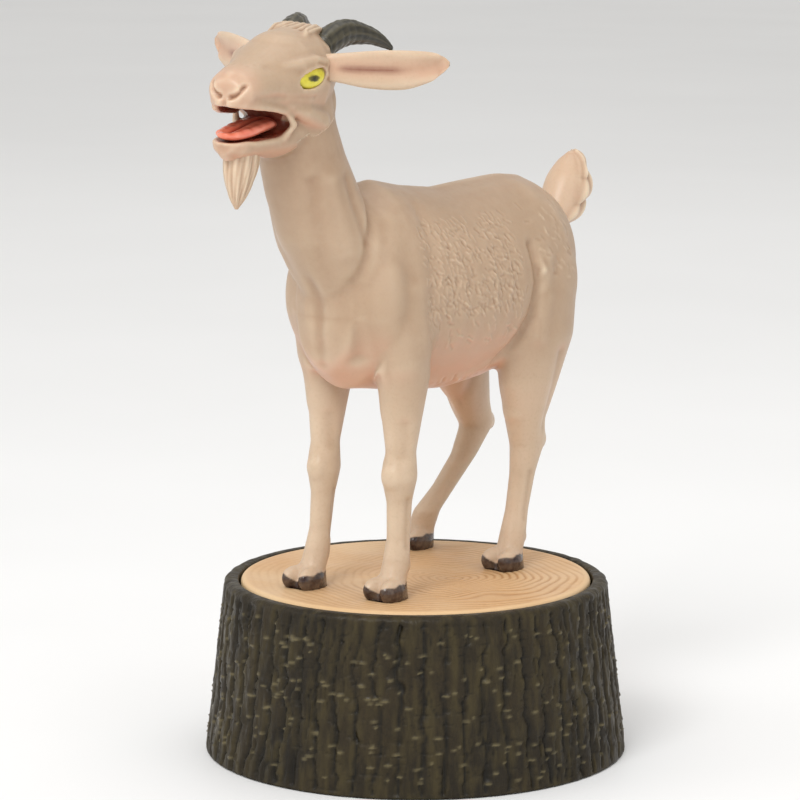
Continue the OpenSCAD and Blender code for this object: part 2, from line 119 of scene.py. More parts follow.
def tube(stations: list[Station], axis: Axis, sides: int = 24) -> Piece:
    """Extrudes a ring from station to station and scales it to each station's size.

    Args:
        stations: Centre x, y, z and the half sizes along the ring's first and second axis.
        axis: The axis that the rings stand square to.
        sides: Number of points in a ring.
    Returns:
        The closed tube.
    """
    clear_selection()
    x, y, z, a, b = stations[0]
    bpy.ops.mesh.primitive_circle_add(
        vertices=sides, radius=MM, fill_type="NGON", location=(x * MM, y * MM, z * MM), rotation=axis.value
    )
    obj = bpy.context.object
    bpy.ops.object.mode_set(mode="EDIT")
    bpy.ops.mesh.select_all(action="SELECT")

    def sizes(u: float, v: float) -> Point:
        """Spreads two half sizes over the ring's plane."""
        return {Axis.X: (1, u, v), Axis.Y: (u, 1, v), Axis.Z: (u, v, 1)}[axis]

    bpy.ops.transform.resize(value=sizes(a, b), center_override=(x * MM, y * MM, z * MM))
    for (x0, y0, z0, a0, b0), (x, y, z, a, b) in zip(stations, stations[1:]):
        step = ((x - x0) * MM, (y - y0) * MM, (z - z0) * MM)
        bpy.ops.mesh.extrude_region_move(TRANSFORM_OT_translate={"value": step})
        bpy.ops.transform.resize(value=sizes(a / a0, b / b0), center_override=(x * MM, y * MM, z * MM))
    bpy.ops.mesh.select_all(action="SELECT")
    bpy.ops.mesh.normals_make_consistent(inside=False)
    bpy.ops.object.mode_set(mode="OBJECT")
    return settle(obj)


def ball(centre: Point, radii: Point, turn: Point = (0, 0, 0), segments: int = 24) -> Piece:
    """Adds an egg of clay.

    Args:
        centre: Its middle.
        radii: Its half sizes before it is turned.
        turn: Its turn about x, y and z, in degrees.
        segments: Number of points round it.
    Returns:
        The egg, with its place in its mesh.
    """
    clear_selection()
    bpy.ops.mesh.primitive_uv_sphere_add(
        segments=segments, ring_count=segments // 2, radius=1, location=[c * MM for c in centre],
        rotation=[math.radians(t) for t in turn], scale=[r * MM for r in radii],
    )
    return settle(bpy.context.object)


def apply_modifier(obj: Piece, kind: str, **values: object) -> None:
    """Adds a modifier, sets its values and applies it."""
    activate(obj)
    modifier = obj.modifiers.new(kind.lower(), kind)
    for key, value in values.items():
        setattr(modifier, key, value)
    bpy.ops.object.modifier_apply(modifier=modifier.name)


def cut_away(obj: Piece, tool: Piece) -> None:
    """Cuts a tool's volume out of a piece and deletes the tool."""
    apply_modifier(obj, "BOOLEAN", operation="DIFFERENCE", object=tool, solver="EXACT")
    bpy.data.objects.remove(tool)


def slice_off(obj: Piece, point: Point, normal: Point) -> None:
    """Cuts a piece at a plane and closes the cut; what lies on the normal's side goes."""
    activate(obj)
    bpy.ops.object.mode_set(mode="EDIT")
    bpy.ops.mesh.select_all(action="SELECT")
    bpy.ops.mesh.bisect(plane_co=[c * MM for c in point], plane_no=normal, use_fill=True, clear_outer=True)
    bpy.ops.object.mode_set(mode="OBJECT")


def fuse(obj: Piece, voxel: float, rounds: int) -> None:
    """Turns joined clay into one skin and softens its joints.

    Args:
        obj: The joined clay.
        voxel: The size of the new faces.
        rounds: How many times the skin is smoothed.
    """
    apply_modifier(obj, "REMESH", mode="VOXEL", voxel_size=voxel * MM)
    apply_modifier(obj, "SMOOTH", factor=0.5, iterations=rounds)


def coordinates(obj: Piece) -> np.ndarray:
    """Vertex places in millimetres."""
    flat = np.empty(len(obj.data.vertices) * 3)
    obj.data.vertices.foreach_get("co", flat)
    return flat.reshape(-1, 3) / MM


def place_vertices(obj: Piece, points: np.ndarray) -> None:
    """Sets vertex places, given in millimetres."""
    obj.data.vertices.foreach_set("co", (points * MM).ravel())
    obj.data.update()


def vertex_normals(obj: Piece) -> np.ndarray:
    """Unit normals of the vertices."""
    flat = np.empty(len(obj.data.vertices) * 3)
    obj.data.vertex_normals.foreach_get("vector", flat)
    return flat.reshape(-1, 3)


def ramp(values: np.ndarray, low: float, high: float) -> np.ndarray:
    """Rises smoothly from 0 at low to 1 at high."""
    t = np.clip((values - low) / (high - low), 0, 1)
    return t * t * (3 - 2 * t)


def soften(obj: Piece, weights: np.ndarray, rounds: int) -> None:
    """Smooths a piece more where the weights are high."""
    group = obj.vertex_groups.new(name="soften")
    for level in range(1, 9):
        members = np.nonzero((weights > (level - 0.5) / 8) & (weights <= (level + 0.5) / 8))[0]
        group.add(members.tolist(), level / 8, "REPLACE")
    apply_modifier(obj, "SMOOTH", factor=0.5, iterations=rounds, vertex_group="soften")
    obj.vertex_groups.clear()


def refine(obj: Piece, chosen: np.ndarray) -> None:
    """Halves the faces that have all their vertices chosen."""
    activate(obj)
    faces = obj.data.polygons
    flags = [bool(all(chosen[v] for v in face.vertices)) for face in faces]
    obj.data.vertices.foreach_set("select", [False] * len(obj.data.vertices))
    obj.data.edges.foreach_set("select", [False] * len(obj.data.edges))
    faces.foreach_set("select", flags)
    bpy.ops.object.mode_set(mode="EDIT")
    bpy.ops.mesh.select_mode(type="FACE")
    bpy.ops.mesh.subdivide(number_cuts=1, smoothness=0.6)
    bpy.ops.mesh.select_mode(type="VERT")
    bpy.ops.object.mode_set(mode="OBJECT")


@dataclass(frozen=True)
class Stroke:
    """One mark of a modelling tool along a path.

    height raises the surface where it is positive and cuts it where it is negative. Axes named in
    through don't count in the distance, so a mark goes through the piece along them, and facing
    keeps it on the side that looks that way.
    """

    path: tuple[Point, ...]
    width: float
    height: float
    through: str = ""
    facing: Point | None = None


def side_mark(path: list[tuple[float, float]], width: float, height: float, facing: Point) -> Stroke:
    """A stroke along y and z that goes through the piece along x."""
    return Stroke(tuple((0, y, z) for y, z in path), width, height, "x", facing)


def mirrored(strokes: list[Stroke]) -> list[Stroke]:
    """Adds each stroke's mirror image across the middle plane."""
    other = []
    for s in strokes:
        path = tuple((-x, y, z) for x, y, z in s.path)
        facing = None if s.facing is None else (-s.facing[0], s.facing[1], s.facing[2])
        other.append(Stroke(path, s.width, s.height, s.through, facing))
    return strokes + other


def stroke_weight(points: np.ndarray, normals: np.ndarray, stroke: Stroke) -> tuple[np.ndarray, np.ndarray]:
    """Finds where a stroke works.

    Args:
        points: Vertex places.
        normals: Vertex normals.
        stroke: The mark.
    Returns:
        The indices of the vertices that it reaches and how strongly each one is moved.
    """
    keep = np.array([axis not in stroke.through for axis in "xyz"], float)
    path = np.array(stroke.path) * keep
    reach = 2.2 * stroke.width
    flat = points * keep
    near = np.all((flat > path.min(0) - reach) & (flat < path.max(0) + reach), axis=1)
    index = np.nonzero(near)[0]
    spots = flat[index]
    gap = np.full(len(index), 1e9)
    for start, end in zip(path, path[1:]):
        along = end - start
        t = np.clip(((spots - start) @ along) / max(along @ along, 1e-9), 0, 1)
        gap = np.minimum(gap, np.linalg.norm(spots - start - t[:, None] * along, axis=1))
    weight = np.exp(-((gap / stroke.width) ** 2))
    if stroke.facing is not None:
        side = np.array(stroke.facing) / np.linalg.norm(stroke.facing)
        weight *= ramp(normals[index] @ side, 0.1, 0.5)
    return index, weight


def sculpt(obj: Piece, strokes: list[Stroke]) -> None:
    """Moves the surface in and out along its normals by a list of strokes."""
    points, normals = coordinates(obj), vertex_normals(obj)
    shift = np.zeros(len(points))
    for stroke in strokes:
        index, weight = stroke_weight(points, normals, stroke)
        shift[index] += stroke.height * weight
    place_vertices(obj, points + normals * shift[:, None])


def store(obj: Piece, name: str, values: np.ndarray) -> None:
    """Keeps a mask on a piece as a named attribute."""
    attribute = obj.data.attributes.new(name, "FLOAT", "POINT")
    attribute.data.foreach_set("value", np.clip(values, 0, 1).astype(np.float32))


def store_shade_and_highlight(obj: Piece, rounds: int, depth: float) -> None:
    """Stores where the surface is hollow, which gets painted shade, and where it stands out, which gets a
    painted highlight.

    Args:
        obj: The piece.
        rounds: How far the surface is averaged.
        depth: The hollow, in millimetres, that counts as full.
    """
    points, normals = coordinates(obj), vertex_normals(obj)
    edges = np.empty(len(obj.data.edges) * 2, int)
    obj.data.edges.foreach_get("vertices", edges)
    a, b = edges.reshape(-1, 2).T
    count = np.bincount(a, minlength=len(points)) + np.bincount(b, minlength=len(points))
    mean = points.copy()
    for _ in range(rounds):
        total = np.zeros_like(mean)
        for k in range(3):
            total[:, k] = np.bincount(a, mean[b, k], len(points)) + np.bincount(b, mean[a, k], len(points))
        mean = 0.5 * mean + 0.5 * total / np.maximum(count, 1)[:, None]
    hollow = ((mean - points) * normals).sum(1) / depth
    # The hollows carry painted shade and the raised parts a painted highlight.
    store(obj, "crease_shade", hollow)
    store(obj, "ridge_highlight", -hollow)


def shade(obj: Piece, angle: float = 180) -> None:
    """Shades a piece smooth up to an angle in degrees."""
    activate(obj)
    if angle >= 180:
        bpy.ops.object.shade_smooth()
    else:
        bpy.ops.object.shade_smooth_by_angle(angle=math.radians(angle))


class Lattice:
    """Smooth random values over a plane that repeat every size cells."""

    def __init__(self, seed: int, size: int = 64) -> None:
        """Draws the lattice's values."""
        self.size = size
        self.values = np.random.default_rng(seed).random((size, size)) * 2 - 1

    def at(self, u: np.ndarray, v: np.ndarray) -> np.ndarray:
        """Values between -1 and 1 at cell coordinates u, v."""
        iu, iv = np.floor(u).astype(int), np.floor(v).astype(int)
        fu, fv = u - iu, v - iv
        fu, fv = fu * fu * (3 - 2 * fu), fv * fv * (3 - 2 * fv)
        n, t = self.size, self.values
        low = t[iu % n, iv % n] * (1 - fu) + t[(iu + 1) % n, iv % n] * fu
        high = t[iu % n, (iv + 1) % n] * (1 - fu) + t[(iu + 1) % n, (iv + 1) % n] * fu
        return low * (1 - fv) + high * fv


def finish_piece(obj: Piece, paint: Paint, body: str, node: str = "", angle: float = 180) -> Piece:
    """Shades and paints a piece, and ties it to its body.

    Args:
        obj: The piece, under its final name.
        paint: Its material.
        body: The body that it rides on.
        node: The node that it stands for, if there is one.
        angle: The edge angle, in degrees, up to which it is shaded smooth.
    Returns:
        The piece.
    """
    shade(obj, angle)
    obj.data.materials.clear()
    obj.data.materials.append(paint)
    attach(obj, body)
    if node:
        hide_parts(node)
    log.info("%s: %d faces on %s", obj.name, len(obj.data.polygons), body)
    return obj


def side_name(side: int, part: str) -> str:
    """Names a part of the left side, which is 1, or of the right side, which is -1."""
    return f"{'left' if side > 0 else 'right'}_{part}"


# ---- Finishes ------------------------------------------------------------------------------------


def linear(hexcode: str) -> tuple[float, float, float, float]:
    """Turns a colour such as d9b27c into linear red, green, blue and alpha."""
    parts = [int(hexcode[i : i + 2], 16) / 255 for i in (0, 2, 4)]
    return (*[c / 12.92 if c <= 0.04045 else ((c + 0.055) / 1.055) ** 2.4 for c in parts], 1.0)


class Tree:
    """Short calls that add and link the nodes of a material or a group."""

    def __init__(self, tree: bpy.types.NodeTree) -> None:
        """Wraps a node tree."""
        self.tree = tree

    def add(self, kind: str, inputs: dict | None = None, **settings: object) -> bpy.types.Node:
        """Adds a node, sets its properties and fills or links its inputs."""
        node = self.tree.nodes.new(kind)
        for key, value in settings.items():
            setattr(node, key, value)
        self.fill(node, inputs or {})
        return node

    def fill(self, node: bpy.types.Node, inputs: dict) -> None:
        """Links the inputs that are given a socket and sets the others."""
        for key, value in inputs.items():
            if isinstance(value, Socket):
                self.tree.links.new(value, node.inputs[key])
            else:
                node.inputs[key].default_value = value

    def noise(self, vector: Socket, scale: float | Socket, detail: float = 3) -> Socket:
        """Adds fractal noise of a scale per metre and returns its value."""
        keys = {"Vector": vector, "Scale": scale, "Detail": detail}
        return self.add("ShaderNodeTexNoise", keys).outputs["Fac"]

    def span(self, value: Socket, low: float, high: float, to: tuple[float, float] = (0, 1)) -> Socket:
        """Maps values between low and high to a range and clamps them."""
        keys = {"Value": value, "From Min": low, "From Max": high, "To Min": to[0], "To Max": to[1]}
        return self.add("ShaderNodeMapRange", keys).outputs["Result"]

    def blend(self, mask: object, a: object, b: object, kind: str = "MIX") -> Socket:
        """Mixes two colours by a mask."""
        node = self.add("ShaderNodeMix", {0: mask, 6: a, 7: b}, data_type="RGBA", blend_type=kind)
        return node.outputs[2]

    def mask(self, name: str) -> Socket:
        """Reads a mask that is stored on the piece."""
        return self.add("ShaderNodeAttribute", attribute_name=name).outputs["Fac"]

    def maths(self, operation: str, a: object, b: object = 0.0) -> Socket:
        """Adds a maths node."""
        return self.add("ShaderNodeMath", {0: a, 1: b}, operation=operation).outputs[0]


def make_group(
    name: str, inputs: dict[str, object], outputs: dict[str, str],
) -> tuple[bpy.types.NodeTree, Tree, bpy.types.Node, bpy.types.Node]:
    """Makes an empty shader node group.

    Args:
        name: The group's name.
        inputs: Input names with their default values; a colour has four numbers.
        outputs: Output names with their socket types.
    Returns:
        The group, its wrapped tree, its input node and its output node.
    """
    group = bpy.data.node_groups.new(name, "ShaderNodeTree")
    for key, value in inputs.items():
        kind = "NodeSocketColor" if isinstance(value, tuple) else "NodeSocketFloat"
        if value is None:
            kind = "NodeSocketVector"
        socket = group.interface.new_socket(name=key, in_out="INPUT", socket_type=kind)
        if value is not None:
            socket.default_value = value
    for key, kind in outputs.items():
        group.interface.new_socket(name=key, in_out="OUTPUT", socket_type=kind)
    tree = Tree(group)
    return group, tree, tree.add("NodeGroupInput"), tree.add("NodeGroupOutput")


def mottle_group() -> bpy.types.NodeTree:
    """Two tones that drift into each other, with fine specks: for moulded and painted surfaces."""
    group, tree, source, sink = make_group(
        "mottle",
        {"Vector": None, "Tone A": (1, 1, 1, 1), "Tone B": (0.5, 0.5, 0.5, 1), "Scale": 60.0, "Specks": 0.1},
        {"Color": "NodeSocketColor", "Height": "NodeSocketFloat"},
    )
    drift = tree.span(tree.noise(source.outputs[0], source.outputs["Scale"], 4.0), 0.35, 0.68)
    tones = tree.blend(drift, source.outputs["Tone A"], source.outputs["Tone B"])
    fine = tree.noise(source.outputs[0], 2600.0, 2)
    specks = tree.maths("MULTIPLY", tree.span(fine, 0.5, 0.75), source.outputs["Specks"])
    tree.tree.links.new(tree.blend(specks, tones, source.outputs["Tone B"], "MULTIPLY"), sink.inputs["Color"])
    tree.tree.links.new(fine, sink.inputs["Height"])
    return group


def paint_group() -> bpy.types.NodeTree:
    """Paint over a colour where a mask says, with a slightly uneven edge."""
    group, tree, source, sink = make_group(
        "paint", {"Vector": None, "Color": (1, 1, 1, 1), "Paint": (0, 0, 0, 1), "Mask": 0.0},
        {"Color": "NodeSocketColor"},
    )
    patches = tree.span(tree.noise(source.outputs[0], 900.0, 2), 0.3, 0.7, (0.82, 1.0))
    uneven = tree.maths("MULTIPLY", patches, source.outputs["Mask"])
    tree.tree.links.new(
        tree.blend(uneven, source.outputs["Color"], source.outputs["Paint"]), sink.inputs["Color"],
    )
    return group


MOTTLE = mottle_group()
PAINT = paint_group()


@dataclass(frozen=True)
class Finish:
    """One surface finish: two tones, their drift, gloss and fine bump."""

    name: str
    tone_a: str
    tone_b: str
    scale: float = 60.0
    specks: float = 0.15
    roughness: float = 0.45
    spread: float = 0.1
    metallic: float = 0.0
    bump: float = 0.1
    grain: float = 0.05
    coat: float = 0.0
    layers: tuple[tuple[str, str], ...] = ()

    def start(self) -> tuple[Paint, Tree, Socket, bpy.types.Node, bpy.types.Node]:
        """Makes the material with its two tones.

        Returns:
            The material, its tree, the object coordinates, the two-tone group and the shader.
        """
        material = bpy.data.materials.new(self.name)
        material.use_nodes = True
        tree = Tree(material.node_tree)
        shader = material.node_tree.nodes["Principled BSDF"]
        shader.inputs["Metallic"].default_value = self.metallic
        shader.inputs["Coat Weight"].default_value = self.coat
        place = tree.add("ShaderNodeTexCoord").outputs["Object"]
        tones = tree.add("ShaderNodeGroup", node_tree=MOTTLE)
        tree.fill(tones, {
            "Vector": place, "Tone A": linear(self.tone_a), "Tone B": linear(self.tone_b),
            "Scale": self.scale, "Specks": self.specks,
        })
        return material, tree, place, tones, shader

    def close(self, tree: Tree, place: Socket, colour: Socket, height: Socket,
              shader: bpy.types.Node, rough_mask: Socket | None = None, glossy: float = 0.2) -> None:
        """Links colour, roughness and bump to the shader.

        Args:
            tree: The material's tree.
            place: Object coordinates.
            colour: The finished colour.
            height: The height that the bump reads.
            shader: The shader.
            rough_mask: Where the surface is glossier.
            glossy: The roughness there.
        """
        link = tree.tree.links.new
        link(colour, shader.inputs["Base Color"])
        limits = (self.roughness - self.spread, self.roughness + self.spread)
        rough = tree.span(tree.noise(place, 5 * self.scale, 3), 0.3, 0.7, limits)
        if rough_mask is not None:
            mix = tree.add("ShaderNodeMix", {0: rough_mask, 2: rough, 3: glossy}, data_type="FLOAT")
            rough = mix.outputs[0]
        link(rough, shader.inputs["Roughness"])
        bump = tree.add(
            "ShaderNodeBump", {"Strength": self.bump, "Distance": self.grain * MM, "Height": height},
        )
        link(bump.outputs["Normal"], shader.inputs["Normal"])

    def layered(self, tree: Tree, place: Socket, colour: Socket) -> Socket:
        """Lays each layer's paint over a colour, where the mask of the layer's name says."""
        for mask, paint in self.layers:
            colour = painted(tree, place, colour, paint, tree.mask(mask))
        return colour

    def material(self) -> Paint:
        """Makes the material: two tones, the layers over them, gloss and bump."""
        material, tree, place, tones, shader = self.start()
        colour = self.layered(tree, place, tones.outputs["Color"])
        self.close(tree, place, colour, tones.outputs["Height"], shader)
        return material


def painted(tree: Tree, place: Socket, colour: Socket, paint: str, mask: Socket) -> Socket:
    """Lays one paint over a colour where a mask says."""
    node = tree.add("ShaderNodeGroup", node_tree=PAINT)
    tree.fill(node, {"Vector": place, "Color": colour, "Paint": linear(paint), "Mask": mask})
    return node.outputs["Color"]


def soak(material: Paint, weight: float, depth: float) -> None:
    """Lets light a little way into a material; depth is in millimetres."""
    shader = material.node_tree.nodes["Principled BSDF"]
    shader.inputs["Subsurface Weight"].default_value = weight
    shader.inputs["Subsurface Scale"].default_value = depth * MM


def skin_material() -> Paint:
    """Cream-tan satin vinyl with painted shade in its creases and over the neck and flank, a painted
    highlight on its ridges, and paint on hooves and mouth; the mouth paint also lays painted shade in the
    ears' folds.
    """
    finish = Finish(
        "goat_vinyl", "cbb298", "b79c80", scale=55.0, specks=0.12, roughness=0.4, spread=0.06, bump=0.25,
        grain=0.04,
        # The layers lay painted shade over the neck and flank and in the creases, a painted highlight on the
        # ridges, and the paint of hooves and mouth; the mouth paint also lays painted shade in the ears'
        # folds.
        layers=(
            ("painted_tan_shade", "a6896f"), ("blush", "e6a68c"), ("crease_shade", "8a5f40"), ("ridge_highlight", "ecd9bd"),
            ("mouth", "6a2214"), ("hoof", "260d0b"),
        ),
    )
    material, tree, place, tones, shader = finish.start()
    colour = finish.layered(tree, place, tones.outputs["Color"])
    gloss = tree.maths("MAXIMUM", tree.mask("hoof"), tree.mask("mouth"))
    finish.close(tree, place, colour, tones.outputs["Height"], shader, rough_mask=gloss, glossy=0.2)
    shader.inputs["Subsurface Radius"].default_value = (1.0, 0.45, 0.25)
    soak(material, 0.08, 1.2)
    return material


def wood_material() -> Paint:
    """Tan sawn-wood look with darker rings in the cuts of the relief and a painted highlight on its raised
    parts.
    """
    return Finish(
        "sawn_wood_look", "dab88e", "cda06e", scale=45.0, specks=0.12, roughness=0.5, spread=0.08, bump=0.2,
        grain=0.04, layers=(("ring", "a9743f"), ("ridge_highlight", "f0d3a4")),
    ).material()


def bark_material() -> Paint:
    """Dark olive-brown bark with near-black painted shade in its furrows, and small glossy raised specks
    whose lighter colour is a painted glint.
    """
    finish = Finish(
        "moulded_bark", "2f2614", "1c160a", scale=120.0, specks=0.3, roughness=0.48, spread=0.12, bump=1.0,
        grain=0.2, layers=(("crease_shade", "14110a"), ("speck_glint", "6d6347")),
    )
    material, tree, place, tones, shader = finish.start()
    stretch = tree.add("ShaderNodeMapping", {"Vector": place, "Scale": (1.0, 1.0, 0.22)}).outputs[0]
    streak = tree.span(tree.noise(stretch, 700.0, 4), 0.42, 0.66)
    colour = painted(tree, place, tones.outputs["Color"], "3d341c", streak)
    colour = finish.layered(tree, place, colour)
    height = tree.noise(stretch, 1300.0, 3)
    finish.close(tree, place, colour, height, shader, rough_mask=tree.mask("speck_glint"), glossy=0.22)
    shader.inputs["Specular IOR Level"].default_value = 0.25
    return material


def horn_material() -> Paint:
    """Dark olive-black horn with long streaks and a satin gloss, with a painted highlight on its raised rings
    and grain and painted shade in the grooves between them.
    """
    return Finish(
        "painted_horn", "302c1f", "1f1c13", scale=160.0, specks=0.1, roughness=0.34, spread=0.08, bump=0.2,
        layers=(("ridge_highlight", "514b38"), ("crease_shade", "15130c")),
    ).material()


def tongue_material() -> Paint:
    """Wet orange-pink paint, redder towards the sides, with dark red painted shade in its grooves and a
    painted highlight on its raised parts.
    """
    material = Finish(
        "wet_tongue", "e88767", "d9624b", scale=260.0, specks=0.05, roughness=0.22, spread=0.05, bump=0.25,
        grain=0.06, coat=0.4, layers=(("crease_shade", "8c1f18"), ("ridge_highlight", "f0937c")),
    ).material()
    soak(material, 0.1, 1.0)
    return material


def eye_material() -> Paint:
    """Yellow painted eye with a dark lying pupil and a satin gloss."""
    return Finish(
        "painted_eye", "e9df52", "cfc338", scale=700.0, specks=0.1, roughness=0.34, spread=0.04, bump=0.05,
        layers=(("rim", "8f8420"), ("pupil", "0b0a06")),
    ).material()


PLAIN_FINISHES = {
    "base_plastic": Finish(
        "fine_grained_base", "2f2a22", "27231c", scale=200.0, roughness=0.55, bump=0.5, grain=0.06,
    ),
    "zinc_screw": Finish(
        "zinc_plate", "c3c5c8", "a6a9ae", scale=500.0, roughness=0.3, metallic=1.0, bump=0.15,
    ),
    "spring_steel": Finish(
        "nickel_wire", "b4b6ba", "8f9196", scale=700.0, roughness=0.25, metallic=1.0, bump=0.1,
    ),
    "cell_steel": Finish(
        "rolled_can", "d4d5d8", "b9bbbf", scale=350.0, roughness=0.2, metallic=1.0, bump=0.08,
    ),
    "contact_brass": Finish(
        "bright_brass", "d9bb68", "bd9a48", scale=500.0, roughness=0.26, metallic=1.0, bump=0.1,
    ),
    "lead_insulation": Finish("soft_insulation", "a52f28", "8c231e", scale=300.0, roughness=0.5),
    "speaker_steel": Finish(
        "pressed_steel", "8d9095", "6f7277", scale=350.0, roughness=0.35, metallic=0.9, bump=0.15,
    ),
    "cone_film": Finish("formed_film", "dcd8ca", "c9c4b4", scale=400.0, roughness=0.3, bump=0.1),
    "board_green": Finish(
        "solder_mask", "2f6f47", "255a3a", scale=600.0, roughness=0.32, bump=0.1, coat=0.3,
    ),
    "black_resin": Finish("potting_resin", "161616", "0d0d0d", scale=300.0, roughness=0.25, bump=0.2),
    "component": Finish("component_body", "7a5a36", "4d3a24", scale=300.0, roughness=0.4),
    "switch_plastic": Finish("switch_housing", "1f1f22", "161618", scale=400.0, roughness=0.45),
    "switch_red": Finish("switch_stem", "7d2521", "661b18", scale=400.0, roughness=0.4),
}


# ---- Goat ----------------------------------------------------------------------------------------

DISC_TOP = 23.3
HEAD_PLACE = (1.0, -28.9, 92.6)
HEAD_TURN = (0.0, 5.0, 10.0)
SEAM_POINT = (0.0, -24.0, 84.3)
SEAM_UP = (0.0, -0.5, 1.0)

NECK_FORM: list[Station] = [
    (0, -9.5, 53, 4.4, 4.4), (0, -10.8, 59, 6.4, 6.8), (0, -13.4, 65, 7.3, 7.9), (0, -16.8, 70, 6.7, 7.9),
    (0, -20.4, 76, 5.7, 6.7), (0, -22.4, 81, 5.0, 6.1), (0, -23.8, 85, 4.9, 5.8), (0, -24.4, 90, 4.7, 5.2),
]
SKULL_FORM: list[Station] = [
    (0, 10, -0.4, 2.6, 3), (0, 8, -0.8, 4.7, 5.2), (0, 4.5, -1.6, 5.8, 6.4), (0, 0.8, -1.6, 5.9, 5.9),
    (0, -2.2, -1.7, 5.1, 4.7), (0, -4.8, -1.9, 4.2, 3.7), (0, -7.2, -2.2, 3.7, 3.0),
    (0, -9.3, -2.5, 3.2, 2.5), (0, -10.5, -2.6, 2.1, 1.6),
]
JAW_FORM: list[Station] = [
    (0, 10.4, -4.6, 3.2, 3.4), (0, 8.8, -5.2, 4.4, 4.8), (0, 6, -6, 4.9, 4.9), (0, 2.6, -7.2, 4.7, 4.4),
    (0, -0.6, -8.6, 4.1, 2.9), (0, -3.4, -9.1, 3.5, 1.9), (0, -6.2, -9.4, 2.9, 1.5),
    (0, -8.8, -9.5, 2.4, 1.3), (0, -10.2, -9.3, 1.4, 0.8),
]


SIDE_ROLLS: dict[str, list[Bend]] = {
    "brow": [(3.3, -3.2, 0.3, 0.8), (4.5, -0.8, 0.75, 0.9), (5.1, 1.6, 1.15, 0.85), (5.1, 4.0, 0.8, 0.75)],
    "upper_lid": [
        (4.4, -2.0, -1.6, 0.45), (5.15, -0.3, 0.05, 0.6), (5.5, 1.3, 0.55, 0.6), (5.5, 2.9, 0.3, 0.55),
        (5.35, 4.1, -0.7, 0.5),
    ],
    "lower_lid": [
        (4.4, -2.0, -1.7, 0.4), (5.15, -0.5, -2.4, 0.42), (5.45, 1.2, -2.55, 0.42), (5.5, 2.8, -2.0, 0.42),
        (5.35, 4.1, -0.8, 0.4),
    ],
    "fold_under_eye": [(4.3, -2.6, -2.8, 0.4), (4.8, -0.8, -3.4, 0.4), (5.0, 1.4, -3.7, 0.4)],
    "upper_lip": [
        (3.8, -1.8, -5.1, 0.5), (3.5, -4.4, -4.65, 0.55), (3.0, -7.2, -4.2, 0.55), (2.2, -9.3, -3.9, 0.6),
        (0.8, -10.3, -3.8, 0.65),
    ],
    "lower_lip": [
        (3.5, -2.0, -8.6, 0.4), (3.1, -4.4, -8.85, 0.42), (2.6, -7.0, -8.9, 0.42), (1.7, -9.4, -8.8, 0.45),
        (0.5, -10.3, -8.75, 0.45),
    ],
    "mouth_corner": [(3.8, -2.0, -5.2, 0.4), (4.3, -0.9, -6.7, 0.5), (3.7, -2.0, -8.4, 0.4)],
    "cheek": [(3.7, -2.0, -4.0, 0.9), (4.3, 1.0, -5.2, 1.3), (4.2, 4.6, -6.6, 1.7)],
    "nose_wing": [(1.0, -9.8, -1.5, 0.5), (2.1, -9.0, -1.3, 0.55), (2.6, -8.0, -1.9, 0.55)],
}


def head_matrix() -> Matrix:
    """The head's place and turn in the figure's frame, in metres."""
    turn = Euler([math.radians(t) for t in HEAD_TURN], "XYZ")
    return Matrix.Translation([c * MM for c in HEAD_PLACE]) @ turn.to_matrix().to_4x4()


def to_head(point: Point) -> Point:
    """Turns a point of the figure's frame into the head's own frame, in millimetres."""
    return tuple(head_matrix().inverted() @ (Vector(point) * MM) / MM)


def put_on_side(obj: Piece, side: int, turn: Matrix) -> None:
    """Turns a left part in the head's frame, mirrors it if side is -1, and sets it on the head."""
    obj.data.transform(head_matrix() @ Matrix.Diagonal((side, 1, 1, 1)) @ turn)
    if side < 0:
        obj.data.flip_normals()


def head_clay() -> list[Piece]:
    """The skull and the jaw in the head's own frame, which the body's neck shares."""
    return [tube(SKULL_FORM, Axis.Y, 32), tube(JAW_FORM, Axis.Y, 28)]


def hair_dashes(rng: np.random.Generator, count: int, low: tuple[float, float], high: tuple[float, float],
                side: float, slope: float, height: float = 0.16) -> list[Stroke]:
    """Scatters short engraved hairs over one flank.

    Args:
        rng: The seeded source of chance.
        count: Number of hairs.
        low: Lowest y and z.
        high: Highest y and z.
        side: 1 for the left flank, -1 for the right one.
        slope: Mean direction of the hairs, in degrees from +Y.
        height: How deep a hair is cut; every other one is raised.
    Returns:
        The strokes.
    """
    dashes = []
    for k in range(count):
        y, z = rng.uniform(low[0], high[0]), rng.uniform(low[1], high[1])
        angle = math.radians(slope + rng.normal(0, 26))
        dy, dz = 0.38 * math.cos(angle), 0.38 * math.sin(angle)
        lift = -height if k % 2 else 0.8 * height
        dashes.append(Stroke(((0, y - dy, z - dz), (0, y + dy, z + dz)), 0.18, lift, "x", (side, 0, 0)))
    return dashes


